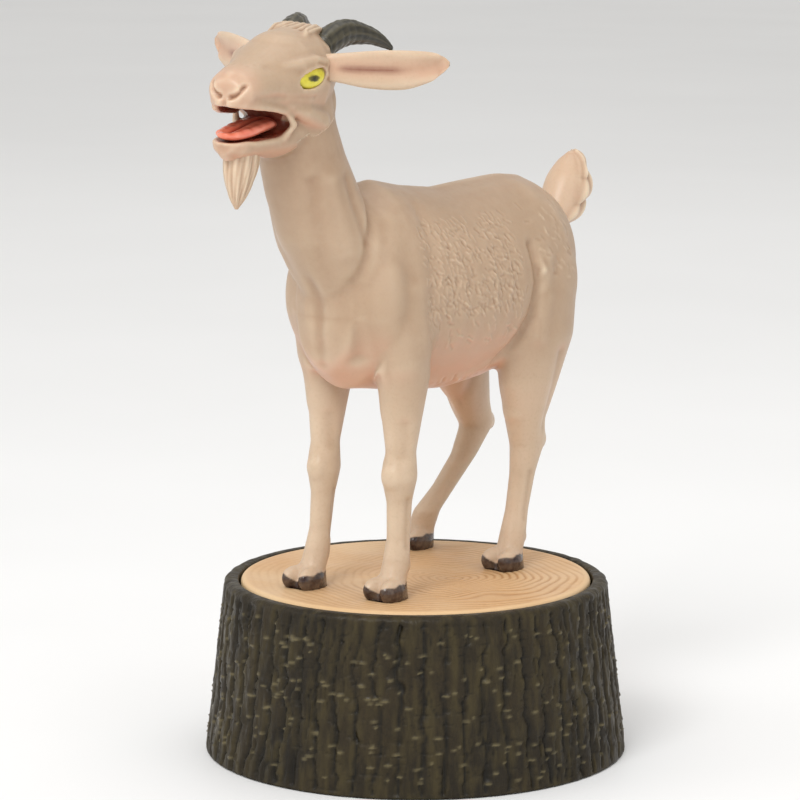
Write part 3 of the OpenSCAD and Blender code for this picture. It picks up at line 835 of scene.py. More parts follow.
@dataclass
class GoatBody:
    """Trunk, neck and legs: one moulding that stands on the disc by four pegs."""

    voxel: float = 0.36
    overlap: float = 0.8
    torso: list[Station] = field(
        default_factory=lambda: [
            (0, -19.6, 61, 2.0, 3.2), (0, -18.6, 61.4, 5.4, 8), (0, -15.2, 62.5, 7.8, 12.2),
            (0, -10, 63.2, 9.2, 13.6), (0, -4, 62.1, 9.6, 13.5), (0, 3, 61.4, 10.2, 13.3),
            (0, 10, 61.9, 10.2, 13.2), (0, 16.5, 63.2, 9.8, 12.2), (0, 21, 63.9, 9.2, 11),
            (0, 24.4, 63.9, 7.8, 9.4), (0, 26.9, 63.8, 5.8, 7), (0, 28.4, 63.6, 3, 4),
        ]
    )
    legs: dict[str, list[Station]] = field(
        default_factory=lambda: {
            "left_fore": [
                (6.2, -9.5, 64, 3.4, 5.6), (6.6, -10.0, 57, 3.7, 4.9), (6.8, -10.6, 51, 3.1, 3.7),
                (6.8, -11.0, 46, 2.5, 2.8), (6.8, -11.2, 42.3, 2.05, 2.15), (6.9, -11.5, 39, 2.3, 2.5),
                (6.8, -11.4, 35.8, 1.65, 1.75), (6.8, -11.6, 31, 1.5, 1.6), (6.8, -12, 27.8, 1.75, 1.9),
                (6.8, -12.8, 25.6, 1.8, 1.95), (6.9, -13.4, 22.6, 2.4, 2.6),
            ],
            "right_fore": [
                (-6.2, -9.5, 64, 3.4, 5.6), (-6.3, -9.9, 57, 3.6, 4.9), (-6.2, -10.4, 51, 3.0, 3.7),
                (-6.0, -11, 46, 2.35, 2.7), (-5.8, -11.6, 42.3, 1.95, 2.05),
                (-5.7, -11.9, 38.8, 2.15, 2.35), (-5.7, -12.1, 35.6, 1.6, 1.7),
                (-5.8, -12.5, 31, 1.45, 1.55), (-5.9, -13.2, 27.6, 1.7, 1.85), (-6.0, -14, 25.5, 1.75, 1.9),
                (-6.1, -14.6, 22.6, 2.4, 2.6),
            ],
            "left_hind": [
                (5.4, 18, 66, 3.4, 5.4), (6, 18, 60, 4.2, 7), (6.4, 17.2, 54, 4.0, 6.8),
                (6.5, 15.8, 48, 3.2, 5.1), (6.4, 15.3, 43, 2.4, 3.3), (6.3, 15.8, 39.7, 2.0, 2.9),
                (6.3, 14.8, 35.8, 1.6, 2.0), (6.4, 13.5, 31, 1.5, 1.7), (6.5, 12.5, 27.6, 1.75, 1.9),
                (6.5, 11.8, 25.5, 1.8, 1.9), (6.5, 11.2, 22.6, 2.4, 2.6),
            ],
            "right_hind": [
                (-5.4, 18, 66, 3.4, 5.4), (-6.2, 18.4, 60, 4.2, 6.9), (-7, 18.4, 54, 4.1, 6.6),
                (-7.6, 18.4, 48, 3.4, 5.0), (-7.6, 20.6, 43, 2.4, 3.4), (-7.8, 22.4, 39.9, 2.0, 2.9),
                (-8.6, 20.6, 35.8, 1.75, 2.0), (-9.8, 17.8, 31.6, 1.6, 1.8), (-10.9, 15.4, 28.4, 1.8, 2.0),
                (-11.5, 14.8, 25.8, 1.85, 1.9), (-11.8, 14.4, 22.6, 2.3, 2.3),
            ],
        }
    )
    hooves: dict[str, tuple[float, float]] = field(
        default_factory=lambda: {
            "left_fore": (6.9, -13.6), "right_fore": (-6.1, -14.8), "left_hind": (6.5, 11.1),
            "right_hind": (-11.8, 14.2),
        }
    )
    muscles: list[tuple[Point, Point, Point]] = field(default_factory=lambda: [
        ((5.9, -12.5, 61), (3.4, 4.6, 7.4), (12, 0, 0)), ((5.6, 18.5, 61), (4.6, 7.0, 8.2), (-10, 0, 0)),
        ((6.9, -12.8, 39.2), (1.7, 1.4, 2.1), (0, 0, 0)), ((6.5, 17.6, 40.3), (1.3, 1.4, 1.9), (20, 0, 0)),
        ((6.4, 14.2, 45.5), (2.3, 2.6, 3.6), (-18, 0, 0))])

    def clay(self) -> Piece:
        """Joins the trunk, neck, legs, muscles and toes, and fuses them into one skin."""
        parts = [tube(self.torso, Axis.Y, 40), tube(NECK_FORM, Axis.Z, 32)]
        parts += [tube(form, Axis.Z, 20) for form in self.legs.values()]
        for centre, radii, turn in self.muscles:
            parts.append(ball(centre, radii, turn))
            if centre[2] > 50:
                parts.append(ball((-centre[0], centre[1], centre[2]), radii, turn))
        parts += [
            ball((-5.7, -13.1, 39.0), (1.6, 1.4, 2.1)),
            ball((-7.9, 24.6, 40.2), (1.2, 1.3, 1.7), (30, 0, 0)),
        ]
        parts += [self.toe(x, y, side) for x, y in self.hooves.values() for side in (1, -1)]
        parts += [self.dewclaw(x, y, side) for x, y in self.hooves.values() for side in (1, -1)]
        for clay in head_clay():
            clay.data.transform(head_matrix())
            parts.append(clay)
        body = join("goat_body_moulding", parts)
        fuse(body, self.voxel, 5)
        return body

    @staticmethod
    def toe(x: float, y: float, side: float) -> Piece:
        """One half of a cloven hoof, pointed to the front."""
        return ball((x + 1.32 * side, y - 0.7, 24.3), (1.3, 2.5, 1.75), (-12, 0, 4 * side))

    @staticmethod
    def dewclaw(x: float, y: float, side: float) -> Piece:
        """A small claw behind the fetlock."""
        return ball((x + 0.85 * side, y + 2.6, 27.4), (0.6, 0.65, 0.85), (25, 0, 0), 12)

    @staticmethod
    def peg(x: float, y: float) -> Piece:
        """The peg under a hoof, which goes into the disc."""
        return tube([(x, y, z, 1.0, 1.0) for z in (DISC_TOP - 2, DISC_TOP + 0.5)], Axis.Z, 24)

    @staticmethod
    def split(x: float, y: float) -> Stroke:
        """The cut between a hoof's toes."""
        return Stroke(((x, y - 3.6, 23.3), (x, y - 2.6, 25.4)), 0.34, -0.7, "", (0, -1, 0.1))

    def strokes(self) -> list[Stroke]:
        """Muscle lines, folds and bony points."""
        out = (1, 0, 0)
        lines = [
            side_mark(
                [(-14.6, 75), (-16.8, 70), (-18.4, 65), (-18.6, 60), (-17, 55)], 0.9, -0.55, (1, -0.4, 0),
            ),
            side_mark([(-12.6, 72), (-14.6, 66), (-15.2, 60), (-13.2, 54)], 2.0, 0.5, (1, -0.5, 0)),
            side_mark([(-6.5, 73), (-7.2, 66), (-8.4, 60), (-7.2, 54)], 1.3, -0.35, out),
            side_mark(
                [(12.6, 67), (13.4, 62), (12.6, 57.5), (10.4, 54), (8.2, 51.5)], 0.75, -0.7, (1, 0, -0.1),
            ),
            side_mark([(15.6, 65), (15.2, 60), (13.6, 55)], 1.4, 0.4, out),
            side_mark([(13.6, 64.6), (14.2, 63.6)], 0.7, 0.35, out),
            side_mark([(17.5, 73), (19.5, 71)], 1.8, 0.35, out),
            side_mark([(-19.6, 78), (-18.9, 75), (-17.4, 70)], 0.9, -0.3, out),
            side_mark([(-25.0, 78), (-24.6, 75), (-22.8, 69), (-21.0, 64)], 0.9, -0.3, out),
            side_mark([(-22.6, 78), (-22.0, 75), (-20.2, 69)], 1.2, 0.25, out),
            side_mark([(-12.6, 46), (-12.4, 42)], 0.8, -0.2, out),
            side_mark([(-11.6, 36), (-11.8, 30)], 0.5, -0.18, out),
            side_mark([(14.6, 36), (13.2, 30)], 0.5, -0.18, out),
            side_mark([(18.4, 52), (17.4, 46), (16.8, 42)], 0.9, -0.3, out),
        ]
        lines = mirrored(lines)
        lines += [
            Stroke(((0, -9, 77), (0, 4, 75), (0, 22, 75)), 1.1, 0.28, "", (0, 0, 1)),
            Stroke(((0, -21, 70), (0, -20, 61), (0, -18.5, 54)), 1.0, -0.45, "", (0, -1, 0)),
            Stroke(((0, -14, 51.5), (0, -18.5, 54.5)), 1.2, 0.3, "", (0, -1, -1)),
            Stroke(((0, 27, 66), (0, 27, 58)), 0.9, -0.8, "z", (0, 1, 0)),
        ]
        for k in range(5):
            y = -2.5 + 2.9 * k
            lines += mirrored([Stroke(((0, y, 68), (0, y + 1.2, 62), (0, y + 0.4, 56)), 0.9, 0.12, "x", out)])
        return lines

    def belly_locks(self, rng: np.random.Generator) -> list[Stroke]:
        """Ragged hair that hangs along the lower edge of the flank."""
        locks = [
            Stroke(
                ((0, -6.4, 50.9), (0, -2, 50.0), (0, 3, 50.2), (0, 7.4, 51.6)), 0.7, 0.3, "x", (1, 0, -0.4),
            )
        ]
        for k in range(13):
            y = -6 + 1.05 * k + rng.uniform(-0.3, 0.3)
            z = 50.5 - 0.8 * math.sin(math.pi * (y + 6.4) / 14) + rng.uniform(-0.3, 0.3)
            slant, long = rng.uniform(0.1, 1.1), rng.uniform(0.3, 0.9)
            locks.append(
                Stroke(
                    ((0, y, z + long), (0, y + slant, z - 0.4)), 0.26, rng.uniform(-0.22, 0.2), "x",
                    (1, 0, -0.4),
                )
            )
        return mirrored(locks)

    def hooves_mask(self, points: np.ndarray) -> np.ndarray:
        """Finds the painted hooves, whose paint dips in the split at the front."""
        mask = np.zeros(len(points))
        for x, y in self.hooves.values():
            dx, dy = points[:, 0] - x, points[:, 1] - y
            angle = np.arctan2(dx, -dy)
            dip = 1.15 * np.exp(-((angle / 0.32) ** 2))
            edge = 25.35 + 0.1 * np.sin(5 * angle + x) + 0.05 * np.sin(11 * angle) - dip
            near = dx**2 + dy**2 < 5.2**2
            mask = np.maximum(mask, near * (1 - ramp(points[:, 2], edge - 0.1, edge + 0.1)))
        return mask

    def build(self, skin: Paint) -> Piece:
        """Models, paints and places the moulding."""
        body = self.clay()
        points = coordinates(body)
        soften(body, ramp(points[:, 2], 44, 52) * (1 - ramp(points[:, 2], 77, 82)), 22)
        sculpt(body, self.strokes())
        points, normals = coordinates(body), vertex_normals(body)
        flank = (abs(normals[:, 0]) > 0.45) & (abs(points[:, 1] - 2) < 12) & (abs(points[:, 2] - 61.5) < 12.5)
        refine(body, flank | (points[:, 2] < 28.5))
        rng = np.random.default_rng(11)
        hairs = self.belly_locks(rng)
        for side in (1.0, -1.0):
            hairs += hair_dashes(rng, 420, (-9.0, 59.0), (10.0, 71.5), side, -52, 0.1)
            hairs += hair_dashes(rng, 60, (-9.0, 55.0), (12.0, 62.0), side, -62, 0.08)
            hairs += hair_dashes(rng, 50, (13.0, 62.0), (22.0, 72.0), side, -50, 0.08)
        sculpt(body, hairs)
        sculpt(body, [self.split(x, y) for x, y in self.hooves.values()])
        slice_off(body, tuple(p + self.overlap * n for p, n in zip(SEAM_POINT, SEAM_UP)), SEAM_UP)
        slice_off(body, (0, 0, DISC_TOP), (0, 0, -1))
        points, normals = coordinates(body), vertex_normals(body)
        store(body, "hoof", self.hooves_mask(points))
        height = points[:, 2]
        belly = ramp(height, 36, 47) * (1 - ramp(height, 55, 62))
        store(body, "blush", 0.5 * ramp(-normals[:, 2], 0.05, 0.8) * belly)
        # Painted shade: a darker tan over the flank, darkest on the neck, none on the legs.
        store(body, "painted_tan_shade", ramp(height, 42, 56) * (0.62 + 0.38 * ramp(height, 68, 78)))
        store(body, "mouth", np.zeros(len(points)))
        store_shade_and_highlight(body, 5, 0.22)
        pegs = [self.peg(x, y) for x, y in self.hooves.values()]
        body = join("goat_body_moulding", [body, *pegs])
        return finish_piece(body, skin, "press_top", "goat_body")


def roll(path: list[Bend], steps: int = 6) -> list[Piece]:
    """Lays a roll of clay along a path.

    Args:
        path: Centre x, y, z and radius at each bend.
        steps: Balls between two bends.
    Returns:
        The balls of clay.
    """
    balls = []
    for start, end in zip(path, path[1:]):
        for k in range(steps + (end is path[-1])):
            x, y, z, r = (a + (b - a) * k / steps for a, b in zip(start, end))
            balls.append(ball((x, y, z), (r, r, r), (0, 0, 0), 14))
    return balls


def resample(stations: list[Station], count: int) -> list[Station]:
    """Rounds a form off with count stations on a smooth curve through its own."""
    points = [stations[0], *stations, stations[-1]]
    smooth = []
    for k in range(count):
        t = k / (count - 1) * (len(stations) - 1)
        i = min(int(t), len(stations) - 2)
        t -= i
        p0, p1, p2, p3 = (np.array(points[i + j]) for j in range(4))
        curve = p1 + 0.5 * t * (p2 - p0 + t * (2 * p0 - 5 * p1 + 4 * p2 - p3 + t * (3 * (p1 - p2) + p3 - p0)))
        curve[3:] = np.maximum(curve[3:], 0.12)
        smooth.append(tuple(curve))
    return smooth


def angle_about(points: np.ndarray, form: list[Station], along: int, up: int) -> np.ndarray:
    """Finds each point's angle about the middle line of a form.

    Args:
        points: Vertex places.
        form: The form's stations.
        along: The number of the axis that the form runs along.
        up: The number of the axis that the angle rises towards, from X.
    Returns:
        The angles in radians.
    """
    line = np.array(resample(form, 200))
    nearest = abs(points[:, along, None] - line[None, :, along]).argmin(1)
    return np.arctan2(points[:, up] - line[nearest, up], points[:, 0] - line[nearest, 0])


def two_sided(path: list[Bend], steps: int = 6) -> list[Piece]:
    """Lays the same roll on the left and on the right."""
    return roll(path, steps) + roll([(-x, y, z, r) for x, y, z, r in path], steps)


@dataclass
class GoatHead:
    """Skull, open mouth, brows and lids, with nostrils and lips cut in."""

    voxel: float = 0.22
    mouth: list[Station] = field(
        default_factory=lambda: [
            (0, -0.9, -6.9, 3.4, 0.5), (0, -1.9, -6.8, 4.6, 1.3), (0, -3.4, -6.65, 6.4, 1.75),
            (0, -5.6, -6.5, 6.6, 1.95), (0, -8, -6.5, 6.6, 2.1), (0, -10, -6.55, 6.6, 2.2),
            (0, -13, -6.6, 6.6, 2.3),
        ]
    )
    far_lip: list[Bend] = field(default_factory=lambda: [
        (-3.4, -2.6, -5.7, 0.5), (-3.1, -5.0, -5.4, 0.6), (-2.7, -7.4, -5.1, 0.6), (-2.1, -9.2, -4.7, 0.5)])
    eye_centre: Point = (4.3, 1.05, -0.9)
    eye_radii: Point = (1.55, 3.0, 1.7)

    def rolls(self) -> list[Piece]:
        """Brows, lids, cheeks, lips, chin and nose of clay."""
        clay: list[Piece] = []
        for path in SIDE_ROLLS.values():
            clay += two_sided(path)
        clay += roll([(0, -9.2, -1.0, 1.1), (0, -6.6, -0.9, 1.7), (0, -3.0, -0.6, 2.7)])
        clay.append(ball((0, 2.6, 1.2), (4.5, 5.2, 3.2), (-8, 0, 0)))
        clay += roll([(0, -9.0, -10.0, 1.2), (0, -6.0, -10.2, 1.4)])
        return clay + self.tuft()

    @staticmethod
    def tuft() -> list[Piece]:
        """Short locks that fall forward between the horns."""
        locks: list[Piece] = []
        for k, x in enumerate((-2.4, -1.5, -0.6, 0.3, 1.2, 2.1)):
            reach = 3.2 + 0.8 * math.sin(2.3 * k)
            locks += roll(
                [
                    (0.7 * x, 8.8, 3.9, 0.6), (x, 6.6, 4.6, 0.62), (1.15 * x, reach + 1.4, 4.5, 0.5),
                    (1.25 * x, reach + 0.3, 3.9, 0.3),
                ],
                4,
            )
        return locks

    def strokes(self) -> list[Stroke]:
        """Nostrils, philtrum, folds and wrinkles."""
        marks = mirrored(
            [
                Stroke(
                    ((0.7, 0, -3.05), (1.4, 0, -2.85), (2.1, 0, -2.3), (2.35, 0, -1.6)), 0.24, -0.6, "y",
                    (0, -1, 0),
                ),
                Stroke(((2.9, -8.2, -3.0), (3.4, -6.0, -2.9), (4.0, -3.6, -3.0)), 0.45, -0.25),
                Stroke(((4.2, -3.0, -2.9), (4.9, -1.0, -3.0), (5.5, 1.4, -3.2)), 0.24, -0.16),
                Stroke(((4.6, -1.8, -0.5), (5.3, -0.3, 0.5), (5.8, 1.6, 0.95), (5.8, 3.4, 0.6)), 0.2, -0.22),
                Stroke(((2.4, -5.6, 0.2), (3.2, -3.4, 0.2)), 0.6, -0.2),
                Stroke(((4.6, -1.2, -4.6), (5.2, 0.8, -4.9)), 0.4, -0.12),
                Stroke(((4.9, -0.6, -8.4), (5.0, 1.2, -9.0), (4.8, 3.4, -9.6)), 0.5, -0.25),
                Stroke(((5.9, 4.2, -1.2), (6.2, 5.8, -1.9)), 0.3, -0.25),
                Stroke(((2.6, 4.8, 2.9), (3.9, 6.0, 2.2)), 0.6, 0.3),
            ]
        )
        marks += [
            Stroke(((0.75 * x, 9.0, 0), (x, 6.6, 0), (1.15 * x, 3.6, 0)), 0.2, -0.32, "z", (0, -0.3, 1))
            for x in (-2.4, -1.4, -0.5, 0.5, 1.3, 2.3)
        ]
        marks.append(Stroke(((0, -10.9, -2.3), (0, -10.9, -3.4), (0, -10.7, -4.3)), 0.26, -0.35))
        for k in range(5):
            y = -7.4 + 0.9 * k
            marks += mirrored(
                [Stroke(((1.0 + 0.5 * k, y, 0.6), (1.7 + 0.5 * k, -7.8 + 0.9 * k, -0.8)), 0.2, -0.07)]
            )
        return marks

    def socket(self, side: int) -> Piece:
        """The volume that is cut out for an eye; side is 1 for the left one."""
        x, y, z = self.eye_centre
        a, b, c = self.eye_radii
        return ball((side * (x + 1.0), y, z), (a, b - 0.35, c - 0.5), (14, 0, -12 * side), 48)

    def mouth_mask(self, points: np.ndarray) -> np.ndarray:
        """Finds the inside of the mouth behind the lips."""
        y = points[:, 1]
        form = np.array(self.mouth)
        order = form[:, 1].argsort()
        centre, wide, high = (np.interp(y, form[order, 1], form[order, k]) for k in (2, 3, 4))
        gap = (points[:, 0] / wide) ** 2 + ((points[:, 2] - centre) / high) ** 2
        lip = np.interp(y, [-10.6, -9.4, -7.2, -4.4, -1.5, 0.5], [0.9, 2.2, 3.1, 3.6, 4.3, 4.6])
        inside = (1 - ramp(gap, 1.25, 1.7)) * (1 - ramp(abs(points[:, 0]), lip - 0.75, lip - 0.45))
        return inside * ramp(y, -10.3, -9.9)

    def build(self, skin: Paint) -> Piece:
        """Models, paints and places the head."""
        neck = tube(NECK_FORM, Axis.Z, 32)
        neck.data.transform(head_matrix().inverted())
        head = join("goat_head_moulding", [*head_clay(), neck, *self.rolls()])
        fuse(head, self.voxel, 3)
        cut_away(head, tube(resample(self.mouth, 26), Axis.Y, 48))
        for side in (1, -1):
            cut_away(head, self.socket(side))
        head = join("goat_head_moulding", [head, *roll(self.far_lip)])
        fuse(head, self.voxel, 4)
        sculpt(head, self.strokes())
        apply_modifier(head, "SMOOTH", factor=0.5, iterations=2)
        points = coordinates(head)
        store(head, "mouth", self.mouth_mask(points))
        head.data.transform(head_matrix())
        slice_off(head, SEAM_POINT, tuple(-c for c in SEAM_UP))
        points = coordinates(head)
        store(head, "hoof", np.zeros(len(points)))
        # Painted shade: the same darker tan over the head, less of it towards the top.
        store(head, "painted_tan_shade", 1.0 - 0.45 * ramp(points[:, 2], 80, 87))
        local = np.array([to_head(tuple(p)) for p in points])
        muzzle = ramp(-local[:, 1], 6.5, 9.5) * 0.25
        under = 0.45 * ramp(-vertex_normals(head)[:, 2], 0.1, 0.9)
        store(head, "blush", np.maximum(muzzle, under))
        store_shade_and_highlight(head, 8, 0.2)
        return finish_piece(head, skin, "press_top", "goat_head")

    def eye(self, side: int, finish: Paint) -> Piece:
        """A painted eye with a lying pupil; side is 1 for the left one."""
        centre = (side * self.eye_centre[0], self.eye_centre[1], self.eye_centre[2])
        eye = ball(centre, self.eye_radii, (10, 0, -12 * side), 64)
        eye.name = side_name(side, "eye")
        points = coordinates(eye) - centre
        y, z = points[:, 1], points[:, 2]
        out = ramp(points[:, 0] * side, 0.6, 0.9)
        pupil = ((y + 0.35) / 0.95) ** 2 + ((z - 0.05) / 0.42) ** 2
        iris = ((y + 0.2) / 2.3) ** 2 + (z / 1.3) ** 2
        store(eye, "pupil", out * (1 - ramp(pupil, 0.75, 1.25)))
        store(eye, "rim", ramp(iris, 0.75, 1.2))
        eye.data.transform(head_matrix())
        return finish_piece(eye, finish, "press_top")


@dataclass
class Ears:
    """Two leaf-shaped ears that stand out sideways, hollow in front."""

    form: list[Station] = field(
        default_factory=lambda: [
            (3.6, 4.2, 0.2, 1.0, 1.4), (4.6, 4.6, 0.2, 1.1, 1.6), (6.8, 5.8, 0.15, 1.1, 1.9),
            (9.6, 7.8, 0.05, 1.05, 2.35), (13, 10.4, 0.15, 0.95, 2.45), (15.4, 12.2, 0.6, 0.7, 1.9),
            (16.8, 13.2, 0.95, 0.45, 1.05), (17.5, 13.6, 1.1, 0.15, 0.3),
        ]
    )
    lift: dict[int, float] = field(default_factory=lambda: {1: 2.0, -1: -4.0})

    def build(self, side: int, skin: Paint) -> Piece:
        """One ear; side is 1 for the left one."""
        ear = tube(resample(self.form, 46), Axis.X, 40)
        spine = [(5.6, 5.1, 0.1), (8, 6.6, 0.1), (11, 8.9, 0.2), (14, 11.2, 0.4), (16.2, 12.8, 0.7)]
        front = (0.5, -1, 0)
        marks = [
            Stroke(tuple(spine), 1.15, -0.75, "", front),
            Stroke(tuple((x, y, z + 1.9 - 0.10 * abs(x - 11)) for x, y, z in spine), 0.5, 0.28, "", front),
            Stroke(tuple((x, y, z - 1.9 + 0.10 * abs(x - 11)) for x, y, z in spine), 0.5, 0.28, "", front),
            Stroke(((6.5, 5.6, -0.9), (9, 7.4, -1.0), (12, 9.7, -0.9)), 0.22, -0.22, "", front),
            Stroke(((6.5, 5.6, 1.1), (9, 7.4, 1.2), (12, 9.7, 1.1)), 0.22, -0.2, "", front),
            Stroke(
                ((6.4, 5.6, 0.0), (9, 7.4, 0.1), (11.5, 9.2, 0.0), (13.5, 10.8, 0.1)), 0.4, -0.55, "",
                front,
            ),
        ]
        sculpt(ear, marks)
        store(ear, "hoof", np.zeros(len(ear.data.vertices)))
        points = coordinates(ear)
        out, height = points[:, 0], points[:, 2]
        frontal = ramp(vertex_normals(ear) @ np.array([0.45, -0.9, 0]), 0.1, 0.6)
        hollow = np.exp(-(((height - 0.3) / 1.5) ** 2)) * frontal
        store(ear, "blush", 0.28 * hollow)
        # Painted shade: the mouth's dark red-brown paint laid along the fold in the ear's hollow.
        painted_fold_shade = np.exp(-(((height - 0.1) / 0.42) ** 2)) * ramp(out, 6.0, 7.5) * (1 - ramp(out, 11.5, 13.8))
        store(ear, "mouth", 0.7 * painted_fold_shade * ramp(hollow, 0.2, 0.6))
        store_shade_and_highlight(ear, 8, 0.25)
        root = Vector((4.6, 4.6, 0.2)) * MM
        lift = Matrix.Rotation(math.radians(-self.lift[side]), 4, "Y")
        turn = Matrix.Translation(root) @ lift @ Matrix.Translation(-root)
        put_on_side(ear, side, turn)
        ear.name = side_name(side, "ear_leaf")
        return finish_piece(ear, skin, "press_top", side_name(side, "ear"))


@dataclass
class Horns:
    """Two short horns that sweep back, with growth rings."""

    rings: int = 11
    form: list[Station] = field(
        default_factory=lambda: [
            (2.9, 6.2, 2.1, 1.6, 1.8), (3.1, 8.8, 3.4, 1.65, 1.85), (3.7, 11.4, 4.0, 1.45, 1.65),
            (4.7, 14.2, 3.7, 1.1, 1.2), (5.6, 16.6, 2.9, 0.7, 0.8), (6.3, 18.2, 1.9, 0.25, 0.3),
        ]
    )

    def build(self, side: int, finish: Paint) -> Piece:
        """One horn; side is 1 for the left one."""
        count = self.rings * 8 + 1
        stations = []
        for k, (x, y, z, a, b) in enumerate(resample(self.form, count)):
            swell = 1 + 0.022 * math.cos(2 * math.pi * k / 8) * (1 - 0.6 * k / count)
            stations.append((x, y, z, a * swell, b * swell))
        horn = tube(stations, Axis.Y, 36)
        points = coordinates(horn)
        angle = angle_about(points, self.form, 1, 2)
        grain = 0.05 * np.sin(9 * angle + 0.6 * points[:, 1]) + 0.03 * np.sin(17 * angle - 0.9 * points[:, 1])
        place_vertices(horn, points + vertex_normals(horn) * grain[:, None])
        store_shade_and_highlight(horn, 6, 0.08)
        put_on_side(horn, side, Matrix())
        horn.name = side_name(side, "horn_cone")
        return finish_piece(horn, finish, "press_top", side_name(side, "horn"))


@dataclass
class SmallParts:
    """Tongue, beard and tail."""

    tongue_form: list[Station] = field(
        default_factory=lambda: [
            (0, -0.9, -7.0, 1.8, 0.8), (0, -4, -7.3, 2.15, 0.85), (0, -6.8, -7.75, 2.1, 0.75),
            (0, -9.0, -8.0, 1.7, 0.6), (0, -10.2, -7.9, 1.0, 0.4), (0, -10.55, -7.8, 0.4, 0.2),
        ]
    )
    beard_form: list[Station] = field(
        default_factory=lambda: [
            (0.1, -6.0, -9.9, 2.1, 2.6), (0.2, -6.2, -12.0, 2.0, 2.5), (0.4, -6.6, -14.2, 1.5, 1.9),
            (0.6, -7.0, -16.0, 0.8, 1.05), (0.7, -7.25, -17.2, 0.2, 0.25),
        ]
    )
    tail_form: list[Station] = field(
        default_factory=lambda: [
            (0, 27.4, 66.6, 1.6, 1.6), (0, 29.2, 68.2, 2.4, 2.8), (0, 30.8, 70.2, 2.9, 3.3),
            (0, 31.8, 72.2, 3.0, 3.3), (0, 32.4, 74.2, 2.7, 2.8), (0, 32.9, 76.0, 1.7, 1.8),
            (0, 33.1, 77.2, 0.5, 0.5),
        ]
    )

    def tongue(self, finish: Paint) -> Piece:
        """A flat tongue with a groove, whose edges curl up."""
        tongue = tube(resample(self.tongue_form, 44), Axis.Y, 36)
        sculpt(
            tongue,
            [
                Stroke(((0, -2.0, -6.4), (0, -5.5, -6.8), (0, -9.4, -7.4)), 0.4, -0.35, "", (0, 0, 1)),
                *mirrored(
                    [
                        Stroke(
                            ((1.7, -2, -6.9), (1.8, -6, -7.3), (1.3, -9.2, -7.8)), 0.45, 0.3, "",
                            (0.4, 0, 1),
                        )
                    ]
                ),
                *mirrored(
                    [
                        Stroke(
                            ((1.0, -3.0 - 1.7 * k, -6.7 - 0.15 * k), (1.8, -3.4 - 1.7 * k, -7.0 - 0.15 * k)),
                            0.25, -0.12,
                        )
                        for k in range(4)
                    ]
                ),
            ],
        )
        store_shade_and_highlight(tongue, 8, 0.15)
        tongue.data.transform(head_matrix())
        return self.close(tongue, "tongue_paint", finish, "tongue", "tongue")

    def beard(self, skin: Paint) -> Piece:
        """A pointed beard of combed locks."""
        beard = tube(resample(self.beard_form, 60), Axis.Z, 64)
        points = coordinates(beard)
        angle = angle_about(points, self.beard_form, 2, 1)
        combed = 0.09 * np.sin(9 * angle + 0.5 * points[:, 2]) + 0.05 * np.sin(
            21 * angle - 0.8 * points[:, 2]
        )
        combed *= 1 - ramp(-points[:, 2], 15.5, 17.2)
        place_vertices(beard, points + vertex_normals(beard) * combed[:, None])
        beard.data.transform(head_matrix())
        return self.skinned(beard, "beard_locks", skin, "beard")

    def tail(self, skin: Paint) -> Piece:
        """A short tail turned up, smooth in front and tufted behind."""
        tail = tube(resample(self.tail_form, 64), Axis.Z, 56)
        points, normals = coordinates(tail), vertex_normals(tail)
        back = ramp(normals[:, 1] + 0.4 * abs(normals[:, 0]), 0.0, 0.7)
        angle = np.arctan2(normals[:, 0], normals[:, 1])
        drift = Lattice(14).at(points[:, 2] * 0.5, angle * 1.6 + 9)
        tufts = np.abs(np.sin(points[:, 2] + 0.9 * np.abs(angle) + 0.9 * drift))
        locks = 0.6 * tufts + 0.13 * np.sin(11 * angle + 0.5 * points[:, 2])
        place_vertices(tail, points + normals * (back * locks)[:, None])
        return self.skinned(tail, "tail_tuft", skin, "tail")

    def skinned(self, obj: Piece, name: str, skin: Paint, node: str) -> Piece:
        """Gives a tuft the skin's masks and puts it in its place."""
        count = len(obj.data.vertices)
        for mask in ("mouth", "hoof"):
            store(obj, mask, np.zeros(count))
        store(obj, "blush", np.full(count, 0.14 if node == "tail" else 0.06))
        store_shade_and_highlight(obj, 6, 0.14)
        return self.close(obj, name, skin, "goat_skin", node)

    @staticmethod
    def close(obj: Piece, name: str, finish: Paint, slot: str, node: str) -> Piece:
        """Names, shades and ties a small part."""
        obj.name = name
        return finish_piece(obj, finish, "press_top", node)


# ---- Stump ---------------------------------------------------------------------------------------


def core_of(node: str, name: str) -> Piece:
    """Copies a node's mesh for the parts of a piece that the node already shows well."""
    core = bpy.data.objects.new(name, frame["nodes"][node].data.copy())
    bpy.context.scene.collection.objects.link(core)
    core.data.materials.clear()
    return core


